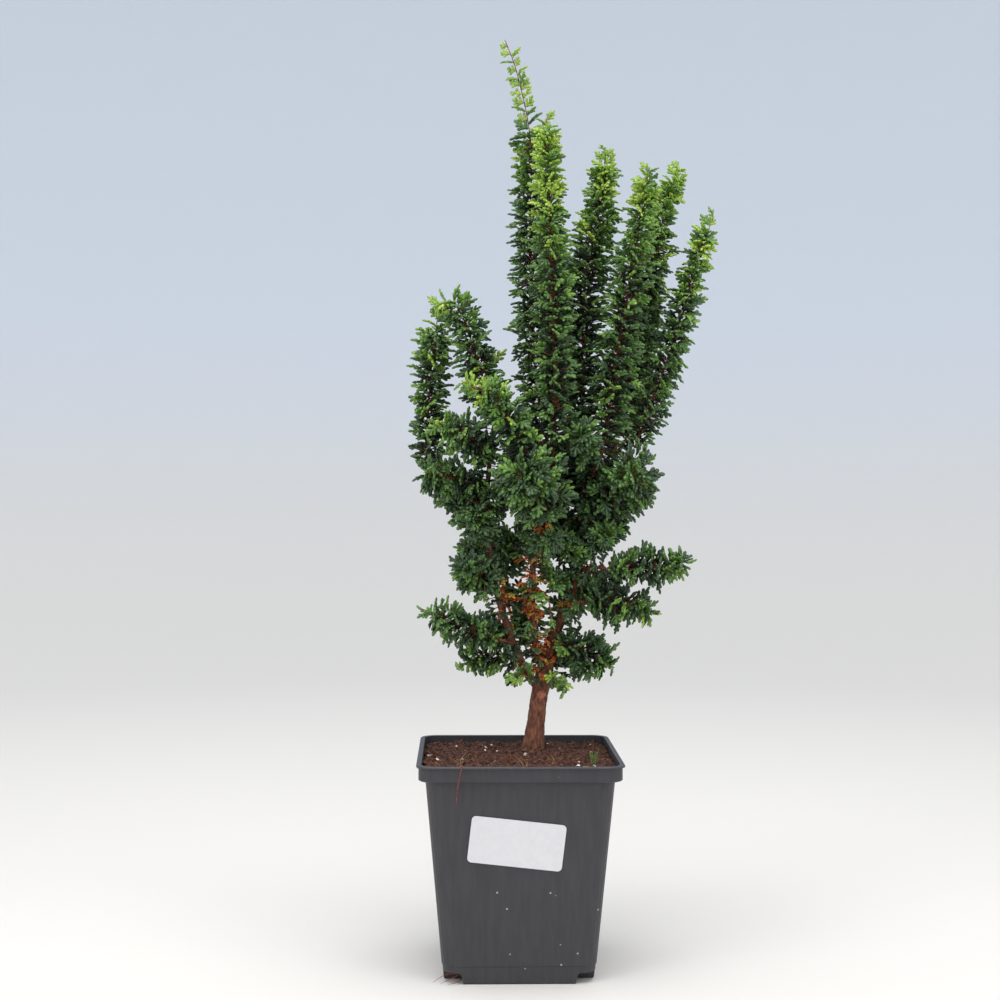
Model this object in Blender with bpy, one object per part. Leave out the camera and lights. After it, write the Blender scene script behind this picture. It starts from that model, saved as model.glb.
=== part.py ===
"""A young hinoki cypress bonsai in its square nursery pot.

The plant is an assembly: one trunk, two side stems, the boughs that leave them, and masses of
foliage, each mass a closed solid that stands off the tip of its bough or off the bark beside it.
All places below are in millimetres. The frame's origin is the middle of the pot's underside,
Z points up, and the pot's front, with the sticker, looks along -Y.
"""

import math
import random
from collections import namedtuple

import bmesh
import bpy
from mathutils import Matrix, Vector
from mathutils.bvhtree import BVHTree

MM = 0.001
GAP = 0.35
CUT_GAP = 0.45
MERGE_DISTANCE = 0.002
GOLDEN_TURN = math.radians(137.508)
QUARTERS = ((1, 1), (-1, 1), (-1, -1), (1, -1))
CURVE_STEPS = 24

# Pot: square, tapering, with a rim band under a thin lip and a notch in each foot corner
POT_HEIGHT = 117.5
LIP_WIDTH = 110.0
LIP_HEIGHT = 1.2
BAND_WIDTH = 107.6
BAND_HEIGHT = 7.1
BODY_TOP_WIDTH = 99.8
BODY_FOOT_WIDTH = 80.4
FOOT_STEP_HEIGHT = 9.5
FOOT_STEP = 0.35
POT_WALL = 1.4
CORNER_RADIUS_TOP = 8.7
CORNER_RADIUS_FOOT = 8.0
CORNER_STEPS = 5
EDGE_ROUNDING = 0.4
FOOT_CHAMFER = 0.8
NOTCH_SIDE = 10.5
NOTCH_HEIGHT = 6.0
NOTCH_DRAFT = 1.2
NOTCH_BEVEL = 1.0
DRAIN_DIAMETER = 5.0
DRAIN_SIDES = 12
CUTTER_OVERRUN = 2.0
BAND_FOOT_Z = POT_HEIGHT - LIP_HEIGHT - BAND_HEIGHT
LIP_FOOT_Z = POT_HEIGHT - LIP_HEIGHT

# Soil: heaped from the walls up to the root flare
SOIL_DROP = 5.0
SOIL_TOP_Z = 116.8
SOIL_FLAT_RADIUS = 9.0
SOIL_EDGE_INSET = 0.8
SOIL_RING_SHARES = (0.78, 0.56, 0.34)
SOIL_HEAP_POWER = 1.3

# Sticker on the front face
STICKER_WIDTH = 50.0
STICKER_HEIGHT = 25.0
STICKER_THICKNESS = 0.3
STICKER_CORNER = 2.2
STICKER_CORNER_STEPS = 4
STICKER_CENTRE = (-2.0, 76.3)
STICKER_TILT = -6.3

# Trunk: way points with the radius there, from the cut at soil level up into the crown
TRUNK_PATH = (
    (8.6, 9.0, 117.1, 6.0),
    (10.2, 8.3, 130.0, 5.0),
    (12.2, 8.0, 145.0, 4.8),
    (16.1, 9.0, 163.7, 4.7),
    (21.0, 10.5, 181.0, 3.6),
    (30.5, 12.0, 205.5, 2.8),
    (36.0, 12.5, 228.0, 2.4),
    (37.0, 12.5, 256.0, 2.1),
    (35.8, 12.5, 290.0, 1.8),
)
TRUNK_LEVELS = 15
TRUNK_SIDES = 12
FLARE_LOBES = 5
FLARE_DEPTH = 0.9
FLARE_FULLNESS = 1.2
FLARE_HEIGHT = 7.0

# Limbs: way points run from the host's axis to the tip
Limb = namedtuple("Limb", "name host way_points foot_radius tip_radius")
LIMBS = (
    Limb("middle_stem", "trunk",
         ((14.8, 9.0, 160.0), (9.6, 2.5, 178.0), (7.5, -2.5, 205.0), (9.3, -7.0, 231.6),
          (15.8, -8.5, 256.0), (14.2, -2.0, 290.0)), 2.5, 1.3),
    Limb("left_stem", "trunk",
         ((12.4, 8.0, 150.5), (2.8, 2.5, 164.0), (-6.7, -2.0, 189.0), (-14.9, -4.0, 217.8),
          (-17.5, -2.5, 256.4), (-13.5, -6.0, 300.0)), 2.6, 1.1),
    Limb("bough_inner_right_leader", "trunk",
         ((37.0, 12.5, 256.0), (41.0, 3.0, 268.0), (46.0, -6.0, 284.0)), 1.5, 1.1),
    Limb("bough_rear_right_leader", "trunk",
         ((37.0, 12.5, 250.0), (46.0, 19.0, 269.0), (57.0, 22.5, 290.0)), 1.5, 1.1),
    Limb("bough_outer_right_leader", "trunk",
         ((36.5, 12.5, 235.0), (51.0, 9.5, 262.0), (64.5, 5.0, 284.0)), 1.7, 1.1),
    Limb("bough_outer_left", "left_stem",
         ((-17.3, -2.5, 251.0), (-36.0, 5.5, 263.0), (-51.0, 10.0, 272.0)), 1.3, 0.9),
    Limb("bough_right_tier", "trunk",
         ((34.0, 12.3, 216.0), (40.0, 1.0, 219.0), (47.5, -7.0, 219.0)), 1.5, 1.0),
    Limb("bough_lower_right", "trunk",
         ((26.8, 11.3, 196.0), (31.0, 5.0, 199.0), (36.5, -1.0, 200.0)), 1.3, 0.9),
    Limb("bough_lower_left", "left_stem",
         ((-1.5, 0.2, 175.0), (-6.0, -6.0, 178.0), (-11.0, -10.0, 180.0)), 1.3, 0.9),
    Limb("bough_rear_leader", "trunk",
         ((37.0, 12.5, 262.0), (33.0, 27.0, 285.0), (26.8, 35.0, 306.0)), 1.3, 1.0),
    Limb("bough_rear_far_leader", "trunk",
         ((37.0, 12.5, 244.0), (48.0, 32.0, 268.0), (64.5, 42.0, 292.0)), 1.4, 1.0),
)
LIMB_SIDES = 6
LIMB_RING_EVERY = 12.0
LIMB_TAPER_POWER = 0.8
LIMB_FOOT_SWELL = 1.15

# Masses of foliage: the shape is a pointed plume or a round dome, way points of the spine run from
# the host outward, the reaches are how far foliage stands off the spine at its foot and near its
# tip, and the core share is how much of the spine the dense core follows (0 for open sprays)
Mass = namedtuple("Mass", "name host shape way_points foot_reach tip_reach core_share")
MASSES = (
    Mass("leader_left", "middle_stem", "plume",
         ((14.2, -2.0, 290.0), (9.0, 1.0, 330.0), (6.3, 1.5, 400.0), (6.0, 0.0, 455.0),
          (-1.5, -1.5, 492.0), (-8.5, -2.0, 511.0)), 13.0, 9.5, 0.76),
    Mass("leader_front", "middle_stem", "plume",
         ((15.9, -8.5, 262.0), (19.0, -20.0, 300.0), (17.0, -19.0, 385.0), (14.0, -14.0, 465.0)),
         13.5, 10.5, 0.92),
    Mass("leader_middle", "trunk", "plume",
         ((35.8, 12.5, 290.0), (37.5, 12.0, 374.0), (46.5, 10.5, 425.0), (48.6, 10.0, 454.0)),
         14.5, 13.5, 0.86),
    Mass("leader_inner_right", "bough_inner_right_leader", "plume",
         ((46.0, -6.0, 284.0), (57.5, -10.0, 360.0), (67.0, -10.0, 415.0), (71.0, -10.0, 440.0)),
         14.0, 12.0, 0.88),
    Mass("leader_rear_right", "bough_rear_right_leader", "plume",
         ((57.0, 22.5, 290.0), (74.5, 20.0, 380.0), (84.0, 17.0, 424.0), (91.1, 16.0, 446.0)),
         13.5, 10.0, 0.86),
    Mass("leader_outer_right", "bough_outer_right_leader", "plume",
         ((64.5, 5.0, 284.0), (87.0, 4.0, 346.0), (99.0, 3.0, 390.0), (108.8, 2.0, 415.5)),
         11.5, 10.5, 0.86),
    Mass("plume_outer_left", "bough_outer_left", "plume",
         ((-51.0, 10.0, 272.0), (-49.5, 12.0, 320.0), (-44.5, 10.0, 366.0)), 13.0, 10.5, 0.84),
    Mass("plume_inner_left", "left_stem", "plume",
         ((-13.5, -6.0, 300.0), (-23.0, -6.0, 333.0), (-32.0, -5.0, 359.0), (-38.5, -3.0, 366.5),
          (-48.5, -2.0, 363.0)), 13.5, 10.5, 0.82),
    Mass("plume_front_left", "middle_stem", "plume",
         ((15.9, -8.5, 267.0), (-1.0, -25.0, 289.0), (-12.0, -32.0, 309.0), (-32.0, -36.0, 319.5)),
         19.0, 7.5, 0.82),
    Mass("plume_low_left", "left_stem", "plume",
         ((-16.3, -3.5, 278.0), (-27.0, -19.0, 290.0), (-48.0, -22.0, 298.0)), 16.0, 10.5, 0.84),
    Mass("mass_left", "left_stem", "dome",
         ((-17.4, -2.5, 261.0), (-33.0, -9.0, 268.0), (-46.0, -9.0, 270.0)), 15.0, 12.0, 1.0),
    Mass("mass_left_upper_dark", "left_stem", "dome",
         ((-17.2, -2.8, 236.0), (-22.0, -11.0, 243.0), (-22.5, -13.0, 247.0)), 15.5, 15.0, 1.0),
    Mass("mass_left_lower_dark", "left_stem", "dome",
         ((-14.0, -3.8, 210.0), (-20.5, -12.0, 214.0), (-25.0, -14.0, 217.0)), 16.0, 15.0, 1.0),
    Mass("mass_front", "middle_stem", "dome",
         ((14.5, -8.7, 249.0), (10.0, -25.0, 262.0), (5.0, -31.0, 267.0)), 19.0, 21.0, 1.0),
    Mass("mass_front_left", "left_stem", "dome",
         ((-17.4, -2.6, 252.0), (-8.0, -9.0, 258.0), (-4.0, -12.0, 266.0)), 15.0, 16.0, 1.0),
    Mass("mass_front_low", "middle_stem", "dome",
         ((9.8, -7.2, 233.0), (13.0, -19.0, 234.0), (17.0, -24.0, 237.0)), 9.0, 8.5, 1.0),
    Mass("mass_right", "trunk", "dome",
         ((37.0, 12.5, 250.0), (52.0, -4.0, 263.0), (59.0, -9.0, 268.0)), 18.0, 19.5, 1.0),
    Mass("mass_right_low", "trunk", "dome",
         ((37.0, 12.5, 230.0), (46.0, 0.0, 235.0), (48.0, -3.0, 237.0)), 12.5, 14.0, 1.0),
    Mass("mass_right_upper", "trunk", "dome",
         ((36.8, 12.5, 268.0), (36.0, -6.0, 283.0), (33.0, -18.0, 290.0)), 14.0, 14.0, 1.0),
    Mass("tier_right", "bough_right_tier", "plume",
         ((47.5, -7.0, 219.0), (70.0, -10.0, 219.0), (94.0, -10.0, 223.0)), 13.0, 13.5, 0.90),
    Mass("tier_lower_right", "bough_lower_right", "plume",
         ((36.5, -1.0, 200.0), (54.0, -6.0, 202.0), (75.0, -8.0, 194.0)), 17.0, 12.5, 0.87),
    Mass("tier_foot_right", "trunk", "plume",
         ((17.9, 9.8, 171.5), (32.0, 5.0, 174.0), (54.0, 8.0, 161.0)), 19.0, 12.5, 0.82),
    Mass("tier_lower_left", "bough_lower_left", "plume",
         ((-11.0, -10.0, 180.0), (-30.0, -14.0, 187.0), (-53.0, -14.0, 197.0)), 13.0, 10.5, 0.84),
    Mass("tier_foot_left", "left_stem", "plume",
         ((1.2, 1.6, 168.0), (-16.0, -2.0, 171.0), (-33.5, 0.0, 164.0)), 13.5, 9.0, 0.80),
    Mass("spray_foot_left", "trunk", "plume",
         ((14.0, 8.5, 155.5), (4.0, -5.0, 160.0), (-6.5, -9.0, 160.5)), 9.5, 8.0, 0.0),
    Mass("spray_foot_right", "trunk", "plume",
         ((14.3, 8.6, 157.0), (19.0, -4.0, 158.0), (26.5, -8.0, 153.0)), 9.5, 8.0, 0.0),
    Mass("spray_hanging", "middle_stem", "plume",
         ((7.6, -3.0, 207.0), (15.6, -12.0, 203.0), (18.5, -14.0, 186.0)), 6.5, 5.5, 0.0),
    Mass("mass_middle_low", "trunk", "dome",
         ((32.6, 12.1, 211.5), (24.0, 2.0, 213.0), (19.5, -2.5, 213.0)), 11.5, 12.5, 1.0),
    Mass("mass_between_stems", "middle_stem", "dome",
         ((7.6, -2.5, 207.0), (0.0, 4.0, 206.0), (-4.5, 6.0, 206.0)), 11.0, 11.5, 1.0),
    Mass("mass_inner_left", "left_stem", "dome",
         ((-14.6, -3.9, 214.0), (-6.0, 9.0, 224.0), (-4.0, 11.0, 232.0)), 14.0, 13.5, 1.0),
    Mass("mass_inner_right", "trunk", "dome",
         ((35.0, 12.4, 222.0), (27.0, 0.0, 229.0), (25.0, -4.0, 235.0)), 13.0, 13.5, 1.0),
    Mass("mass_inner_low", "middle_stem", "dome",
         ((7.8, -1.0, 192.0), (6.0, 11.0, 188.0), (2.0, 13.0, 187.0)), 11.0, 11.0, 1.0),
    Mass("leader_rear", "bough_rear_leader", "plume",
         ((26.8, 35.0, 306.0), (24.0, 38.0, 365.0), (19.1, 38.0, 424.0)), 13.5, 11.0, 0.84),
    Mass("leader_rear_far", "bough_rear_far_leader", "plume",
         ((64.5, 42.0, 292.0), (75.0, 44.0, 340.0), (82.0, 42.0, 388.0)), 13.5, 10.5, 0.82),
    Mass("mass_rear_left", "left_stem", "dome",
         ((-17.4, -2.6, 245.0), (-30.0, 20.0, 259.0), (-36.0, 26.0, 263.0)), 14.0, 13.0, 1.0),
    Mass("mass_rear_left_low", "left_stem", "dome",
         ((-14.6, -4.0, 213.0), (-19.5, 17.0, 221.0), (-21.0, 24.0, 226.0)), 14.0, 15.0, 1.0),
    Mass("mass_rear_middle", "trunk", "dome",
         ((37.0, 12.5, 256.0), (40.0, 25.0, 262.0), (41.0, 31.0, 268.0)), 13.0, 14.0, 1.0),
    Mass("mass_rear", "trunk", "dome",
         ((36.8, 12.5, 272.0), (20.0, 27.0, 277.0), (8.0, 32.0, 284.0)), 17.0, 18.0, 1.0),
    Mass("mass_rear_low", "trunk", "dome",
         ((36.6, 12.5, 236.0), (24.0, 28.0, 239.0), (18.0, 33.0, 243.0)), 16.0, 17.0, 1.0),
    Mass("mass_rear_right", "trunk", "dome",
         ((36.5, 12.5, 236.0), (54.0, 25.0, 251.0), (58.0, 29.0, 257.0)), 16.0, 16.0, 1.0),
    Mass("tier_rear_right", "trunk", "plume",
         ((31.5, 12.0, 208.0), (45.0, 28.0, 208.0), (62.0, 36.0, 200.0)), 14.0, 10.0, 0.82),
    Mass("tier_rear_left", "left_stem", "plume",
         ((-4.0, -0.5, 181.5), (-20.0, 18.0, 182.0), (-33.0, 26.0, 177.0)), 11.5, 8.5, 0.78),
    Mass("tier_rear_foot", "trunk", "plume",
         ((16.5, 9.2, 166.0), (27.0, 24.0, 171.0), (39.0, 34.0, 166.0)), 12.0, 9.0, 0.78),
)
TONES = (("leader", "green"), ("plume", "green"), ("spray_hanging", "pale"), ("", "dark"))
MASS_SEED = 20
PATH_SAMPLES = 160
PATH_STEP = 2.5
SPINE_SAMPLES = 24

# Reach of foliage: it swells out of the foot, and a plume narrows again toward its tip
FOOT_FULLNESS = 0.5
FOOT_SWELL = 1.5
TIP_BLUNTNESS = 2.5
TIP_TAPER = 1.6
TIP_POWER = 0.7

# Stem and dense core of a mass
STEM_RADIUS = 0.95
STEM_TIP_RADIUS = 0.4
STEM_SIDES = 3
STEM_RING_EVERY = 16.0
STEM_SHORT_OF_TIP = 2.0
CORE_DEPTH = 3.6
CORE_RING_EVERY = 13.0
CORE_SIDES = 6
CORE_START = 0.35
CORE_END_SHARE = 0.55
CORE_LEAST = 1.6
CORE_LUMPS = (-0.08, 0.12)
CORE_SHRINK = 0.86
CORE_SHRINK_ROUNDS = 18
CORE_CLEARANCE = 0.5
DOME_HEART = 0.62
DOME_LUMPS = (-0.08, 0.06)
DOME_STEP = 0.5
WALL_MARGIN = 1.0
OWN_MARGIN = 0.5
OWN_STEP = 0.8
LEAST_RADIUS = 0.9

# Leaves, each of which stands for one spray
LEAF_LENGTH = 18.0
LEAF_WIDTH_SHARE = 0.55
LEAF_THICK_SHARE = 0.26
LEAF_KEEL_SHARE = 0.65
LEAF_WIDEST_AT = 0.45
LEAF_DROOP = 0.08
LEAF_SPACING = 24.5
LEAF_LEAN = 36.0
LEAF_LEAN_SPREAD = 7.0
LEAF_TURN_SPREAD = 0.3
LEAF_START = 0.05
LEAF_STANDS_PROUD = 1.0
LEAF_SHRINKS = (1.0, 0.8, 0.62)
END_LEAF_SHARE = 0.6
LEAVES_LEAST = 7

SOLIDS = {}
SPINES = []


def clear_scene():
    """Empties the file of whatever it opened with."""
    for item in list(bpy.data.objects):
        bpy.data.objects.remove(item, do_unlink=True)


def material(name, colour, roughness):
    """A plain Principled material."""
    made = bpy.data.materials.new(name)
    made.use_nodes = True
    shader = made.node_tree.nodes["Principled BSDF"]
    shader.inputs["Base Color"].default_value = (*colour, 1.0)
    shader.inputs["Roughness"].default_value = roughness
    shader.inputs["Metallic"].default_value = 0.0
    return made


def mesh_from(points, faces):
    """A Blender mesh from millimetre points, with its faces turned outward."""
    shell = bmesh.new()
    corners = [shell.verts.new(Vector(point) * MM) for point in points]
    for face in faces:
        shell.faces.new([corners[index] for index in face])
    bmesh.ops.recalc_face_normals(shell, faces=shell.faces)
    mesh = bpy.data.meshes.new("shell")
    shell.to_mesh(mesh)
    shell.free()
    return mesh


def add_object(name, mesh, finish=None):
    """Links a mesh into the scene as one named object."""
    made = bpy.data.objects.new(name, mesh)
    if finish is not None:
        made.data.materials.clear()
        made.data.materials.append(finish)
    bpy.context.scene.collection.objects.link(made)
    return made


def loft(rings):
    """Points and faces of a closed body through rings of equal count, capped at both ends."""
    points = [point for ring in rings for point in ring]
    count = len(rings[0])
    faces = [tuple(reversed(range(count)))]
    for level in range(len(rings) - 1):
        low = level * count
        for side in range(count):
            after = (side + 1) % count
            faces.append((low + side, low + after, low + count + after, low + count + side))
    last = (len(rings) - 1) * count
    faces.append(tuple(range(last, last + count)))
    return points, faces


def rounded_square(width, radius, z):
    """Ring of points round a square with rounded corners, anticlockwise seen from above."""
    inset = width / 2 - radius
    ring = []
    for corner, (sign_x, sign_y) in enumerate(QUARTERS):
        for step in range(CORNER_STEPS + 1):
            angle = math.radians(90 * (corner + step / CORNER_STEPS))
            ring.append((sign_x * inset + radius * math.cos(angle),
                         sign_y * inset + radius * math.sin(angle), z))
    return ring


def combine(target, operation, operand):
    """Applies one Boolean of the operand to the target, then removes the operand."""
    cut = target.modifiers.new("combine", "BOOLEAN")
    cut.operation = operation
    cut.object = operand
    apply_modifiers(target)
    bpy.data.objects.remove(operand, do_unlink=True)


def apply_modifiers(target):
    """Replaces the target's mesh by its evaluated one."""
    view = bpy.context.evaluated_depsgraph_get()
    mesh = bpy.data.meshes.new_from_object(target.evaluated_get(view))
    target.modifiers.clear()
    target.data = mesh


def body_width(z):
    """Outer width of the pot's tapering body at a height."""
    return BODY_FOOT_WIDTH + (BODY_TOP_WIDTH - BODY_FOOT_WIDTH) * z / BAND_FOOT_Z


def corner_radius(z):
    """Radius of the pot's upright corners at a height."""
    return CORNER_RADIUS_FOOT + (CORNER_RADIUS_TOP - CORNER_RADIUS_FOOT) * z / POT_HEIGHT


def corner_blocks(grow, top, name):
    """Four blocks in the pot's foot corners, their inner sides leaning outward near the top."""
    reach = BODY_FOOT_WIDTH / 2 + NOTCH_SIDE
    edge = BODY_FOOT_WIDTH / 2 - NOTCH_SIDE - grow
    levels = ((-CUTTER_OVERRUN, 0.0), (0.0, 0.0), (top - NOTCH_BEVEL, NOTCH_DRAFT),
              (top, NOTCH_DRAFT + NOTCH_BEVEL))
    points, faces = [], []
    for sign_x, sign_y in QUARTERS:
        rings = []
        for z, lean in levels:
            inner = edge + lean
            square = ((inner, inner), (reach, inner), (reach, reach), (inner, reach))
            rings.append([(sign_x * x, sign_y * y, z) for x, y in square])
        block_points, block_faces = loft(rings)
        faces += [tuple(len(points) + index for index in face) for face in block_faces]
        points += block_points
    return add_object(name, mesh_from(points, faces))


def outer_rings():
    """Rings of the pot's outside: chamfered foot, step, tapering body, band and lip."""
    step_top = FOOT_STEP_HEIGHT + EDGE_ROUNDING
    body_end = BAND_FOOT_Z - EDGE_ROUNDING
    levels = ((body_width(0.0) - 2 * FOOT_CHAMFER, CORNER_RADIUS_FOOT, 0.0),
              (body_width(FOOT_CHAMFER), CORNER_RADIUS_FOOT, FOOT_CHAMFER),
              (body_width(FOOT_STEP_HEIGHT), CORNER_RADIUS_FOOT, FOOT_STEP_HEIGHT),
              (body_width(step_top) + 2 * FOOT_STEP, CORNER_RADIUS_FOOT, step_top),
              (body_width(body_end) + 2 * FOOT_STEP, corner_radius(body_end), body_end),
              (BAND_WIDTH - 2 * EDGE_ROUNDING, CORNER_RADIUS_TOP, BAND_FOOT_Z),
              (BAND_WIDTH, CORNER_RADIUS_TOP, BAND_FOOT_Z + EDGE_ROUNDING),
              (BAND_WIDTH, CORNER_RADIUS_TOP, LIP_FOOT_Z),
              (LIP_WIDTH, CORNER_RADIUS_TOP, LIP_FOOT_Z + EDGE_ROUNDING / 2),
              (LIP_WIDTH, CORNER_RADIUS_TOP, POT_HEIGHT - EDGE_ROUNDING),
              (LIP_WIDTH - 2 * EDGE_ROUNDING, CORNER_RADIUS_TOP, POT_HEIGHT))
    return [rounded_square(width, radius, z) for width, radius, z in levels]


def hollow_rings(wall, top):
    """Rings of the pot's inside, shrunk by a wall's thickness."""
    shoulder = BAND_FOOT_Z - 1.0
    levels = ((body_width(wall), CORNER_RADIUS_FOOT, wall),
              (body_width(shoulder), CORNER_RADIUS_TOP, shoulder),
              (BAND_WIDTH - EDGE_ROUNDING, CORNER_RADIUS_TOP, BAND_FOOT_Z + 1.2),
              (BAND_WIDTH, CORNER_RADIUS_TOP, top))
    return [rounded_square(width - 2 * wall, radius - wall, z) for width, radius, z in levels]


def make_pot(finish):
    """Thin-walled pot: a full body less its hollow, its four foot notches and their drain holes."""
    pot = add_object("pot", mesh_from(*loft(outer_rings())), finish)
    hollow = add_object("hollow", mesh_from(*loft(hollow_rings(POT_WALL, POT_HEIGHT + CUTTER_OVERRUN))))
    combine(hollow, "DIFFERENCE", corner_blocks(POT_WALL, NOTCH_HEIGHT + POT_WALL, "pillars"))
    combine(pot, "DIFFERENCE", hollow)
    combine(pot, "DIFFERENCE", corner_blocks(0.0, NOTCH_HEIGHT, "notches"))
    hole_at = (BODY_FOOT_WIDTH - NOTCH_SIDE) / 2 - FOOT_CHAMFER
    for sign_x, sign_y in QUARTERS:
        rings = [circle(sign_x * hole_at, sign_y * hole_at, DRAIN_DIAMETER / 2, z)
                 for z in (NOTCH_HEIGHT - CUTTER_OVERRUN, NOTCH_HEIGHT + POT_WALL + CUTTER_OVERRUN)]
        combine(pot, "DIFFERENCE", add_object("drain", mesh_from(*loft(rings))))


def circle(centre_x, centre_y, radius, z):
    """Level ring of points round a drain hole."""
    turns = [2 * math.pi * side / DRAIN_SIDES for side in range(DRAIN_SIDES)]
    return [(centre_x + radius * math.cos(turn), centre_y + radius * math.sin(turn), z) for turn in turns]


def make_soil(finish):
    """Soil filling the pot, its top heaped up to a small flat where the trunk stands."""
    inset = POT_WALL + GAP
    edge = POT_HEIGHT - SOIL_DROP
    rings = hollow_rings(inset, edge - SOIL_EDGE_INSET)
    outline = rounded_square(BAND_WIDTH - 2 * (inset + SOIL_EDGE_INSET), CORNER_RADIUS_TOP - inset, edge)
    rings.append(outline)
    trunk_x, trunk_y = TRUNK_PATH[0][:2]
    for share in SOIL_RING_SHARES:
        height = edge + (SOIL_TOP_Z - edge) * (1 - share) ** SOIL_HEAP_POWER
        rings.append([(trunk_x + (x - trunk_x) * share, trunk_y + (y - trunk_y) * share, height)
                      for x, y, _ in outline])
    flat = []
    for x, y, _ in outline:
        share = SOIL_FLAT_RADIUS / math.hypot(x - trunk_x, y - trunk_y)
        flat.append((trunk_x + (x - trunk_x) * share, trunk_y + (y - trunk_y) * share, SOIL_TOP_Z))
    rings.append(flat)
    soil = add_object("soil", mesh_from(*loft(rings)), finish)
    combine(soil, "DIFFERENCE", corner_blocks(inset, NOTCH_HEIGHT + inset, "pillars"))


def make_sticker(finish):
    """Blank sticker lying on the sloping front face, a little askew."""
    half_x = STICKER_WIDTH / 2 - STICKER_CORNER
    half_y = STICKER_HEIGHT / 2 - STICKER_CORNER
    outline = []
    for corner, (sign_x, sign_y) in enumerate(QUARTERS):
        for step in range(STICKER_CORNER_STEPS + 1):
            angle = math.radians(90 * (corner + step / STICKER_CORNER_STEPS))
            outline.append((sign_x * half_x + STICKER_CORNER * math.cos(angle),
                            sign_y * half_y + STICKER_CORNER * math.sin(angle)))
    rings = [[(x, y, z) for x, y in outline] for z in (0.0, STICKER_THICKNESS)]
    sticker = add_object("sticker", mesh_from(*loft(rings)), finish)
    centre_x, centre_z = STICKER_CENTRE
    slope = math.atan((BODY_TOP_WIDTH - BODY_FOOT_WIDTH) / 2 / BAND_FOOT_Z)
    front = -(body_width(centre_z) / 2 + FOOT_STEP + GAP)
    sticker.data.transform(Matrix.Translation(Vector((centre_x, front, centre_z)) * MM)
                           @ Matrix.Rotation(math.pi / 2 + slope, 4, "X")
                           @ Matrix.Rotation(math.radians(STICKER_TILT), 4, "Z"))


def remember(name, mesh):
    """Keeps a solid's surface, in millimetres, for the tests of what is clear of what."""
    points = [vertex.co / MM for vertex in mesh.vertices]
    faces = [tuple(face.vertices) for face in mesh.polygons]
    low = Vector(min(point[axis] for point in points) for axis in range(3))
    high = Vector(max(point[axis] for point in points) for axis in range(3))
    SOLIDS[name] = (BVHTree.FromPolygons(points, faces), low, high)


def smooth_path(way_points, count):
    """Even samples of a smooth curve through the way points, of any number of coordinates."""
    ways = [Vector(point) for point in way_points]
    ways = [2 * ways[0] - ways[1]] + ways + [2 * ways[-1] - ways[-2]]
    fine = []
    for before, start, end, after in zip(ways, ways[1:], ways[2:], ways[3:]):
        for step in range(CURVE_STEPS):
            t = step / CURVE_STEPS
            fine.append(0.5 * (2 * start + (end - before) * t
                               + (2 * before - 5 * start + 4 * end - after) * t ** 2
                               + (3 * start - before - 3 * end + after) * t ** 3))
    fine.append(ways[-2])
    return resample(fine, count)


def resample(line, count):
    """The line's points at even steps of arc length, counted in three dimensions."""
    lengths = [0.0]
    for a, b in zip(line, line[1:]):
        lengths.append(lengths[-1] + (b.to_3d() - a.to_3d()).length)
    samples = []
    segment = 0
    for index in range(count):
        goal = lengths[-1] * index / (count - 1)
        while segment < len(line) - 2 and lengths[segment + 1] < goal:
            segment += 1
        share = (goal - lengths[segment]) / max(lengths[segment + 1] - lengths[segment], 1e-9)
        samples.append(line[segment].lerp(line[segment + 1], min(max(share, 0.0), 1.0)))
    return samples


def frames_along(path):
    """Tangent and two cross directions at each point, carried along without twist."""
    frames = []
    across = Vector((1.0, 0.0, 0.0))
    for index, point in enumerate(path):
        before = path[max(index - 1, 0)]
        after = path[min(index + 1, len(path) - 1)]
        along = (after - before).normalized()
        if index == 0 and abs(along.dot(across)) > 0.9:
            across = Vector((0.0, 1.0, 0.0))
        across = (across - along * across.dot(along)).normalized()
        frames.append((along, across, along.cross(across)))
    return frames


def inside(name, point):
    """Whether a point lies within a remembered solid."""
    tree, low, high = SOLIDS[name]
    if any(point[axis] < low[axis] or point[axis] > high[axis] for axis in range(3)):
        return False
    place, normal, _, _ = tree.find_nearest(point)
    return (point - place).dot(normal) < 0.0


def leave_host(path, host):
    """Cuts off the path's first part, up to where it comes out of the host."""
    first = 0
    for index, point in enumerate(path):
        if inside(host, point):
            first = index + 1
    return path[first:]


def tube(path, radii, sides, lobes=None):
    """Points and faces of a tapering limb."""
    rings = []
    for level, ((along, across, up), point, radius) in enumerate(zip(frames_along(path), path, radii)):
        ring = []
        for side in range(sides):
            angle = 2 * math.pi * side / sides
            reach = radius + (lobes(angle, level) if lobes else 0.0)
            ring.append(point + (across * math.cos(angle) + up * math.sin(angle)) * reach)
        rings.append(ring)
    return loft(rings)


def cut_clear(made):
    """Cuts a limb or mass clear, by the gap, of every solid made before that it would meet."""
    for name, (tree, _, _) in SOLIDS.items():
        points = swollen([vertex.co / MM for vertex in made.data.vertices], GAP / 2)
        faces = [tuple(face.vertices) for face in made.data.polygons]
        if not tree.overlap(BVHTree.FromPolygons(points, faces)):
            continue
        grown = bpy.data.objects[name].data.copy()
        normals = [vertex.normal.copy() for vertex in grown.vertices]
        for vertex, normal in zip(grown.vertices, normals):
            vertex.co += normal * CUT_GAP * MM
        combine(made, "DIFFERENCE", add_object("grown", grown))
        largest_body(made.data)


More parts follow.
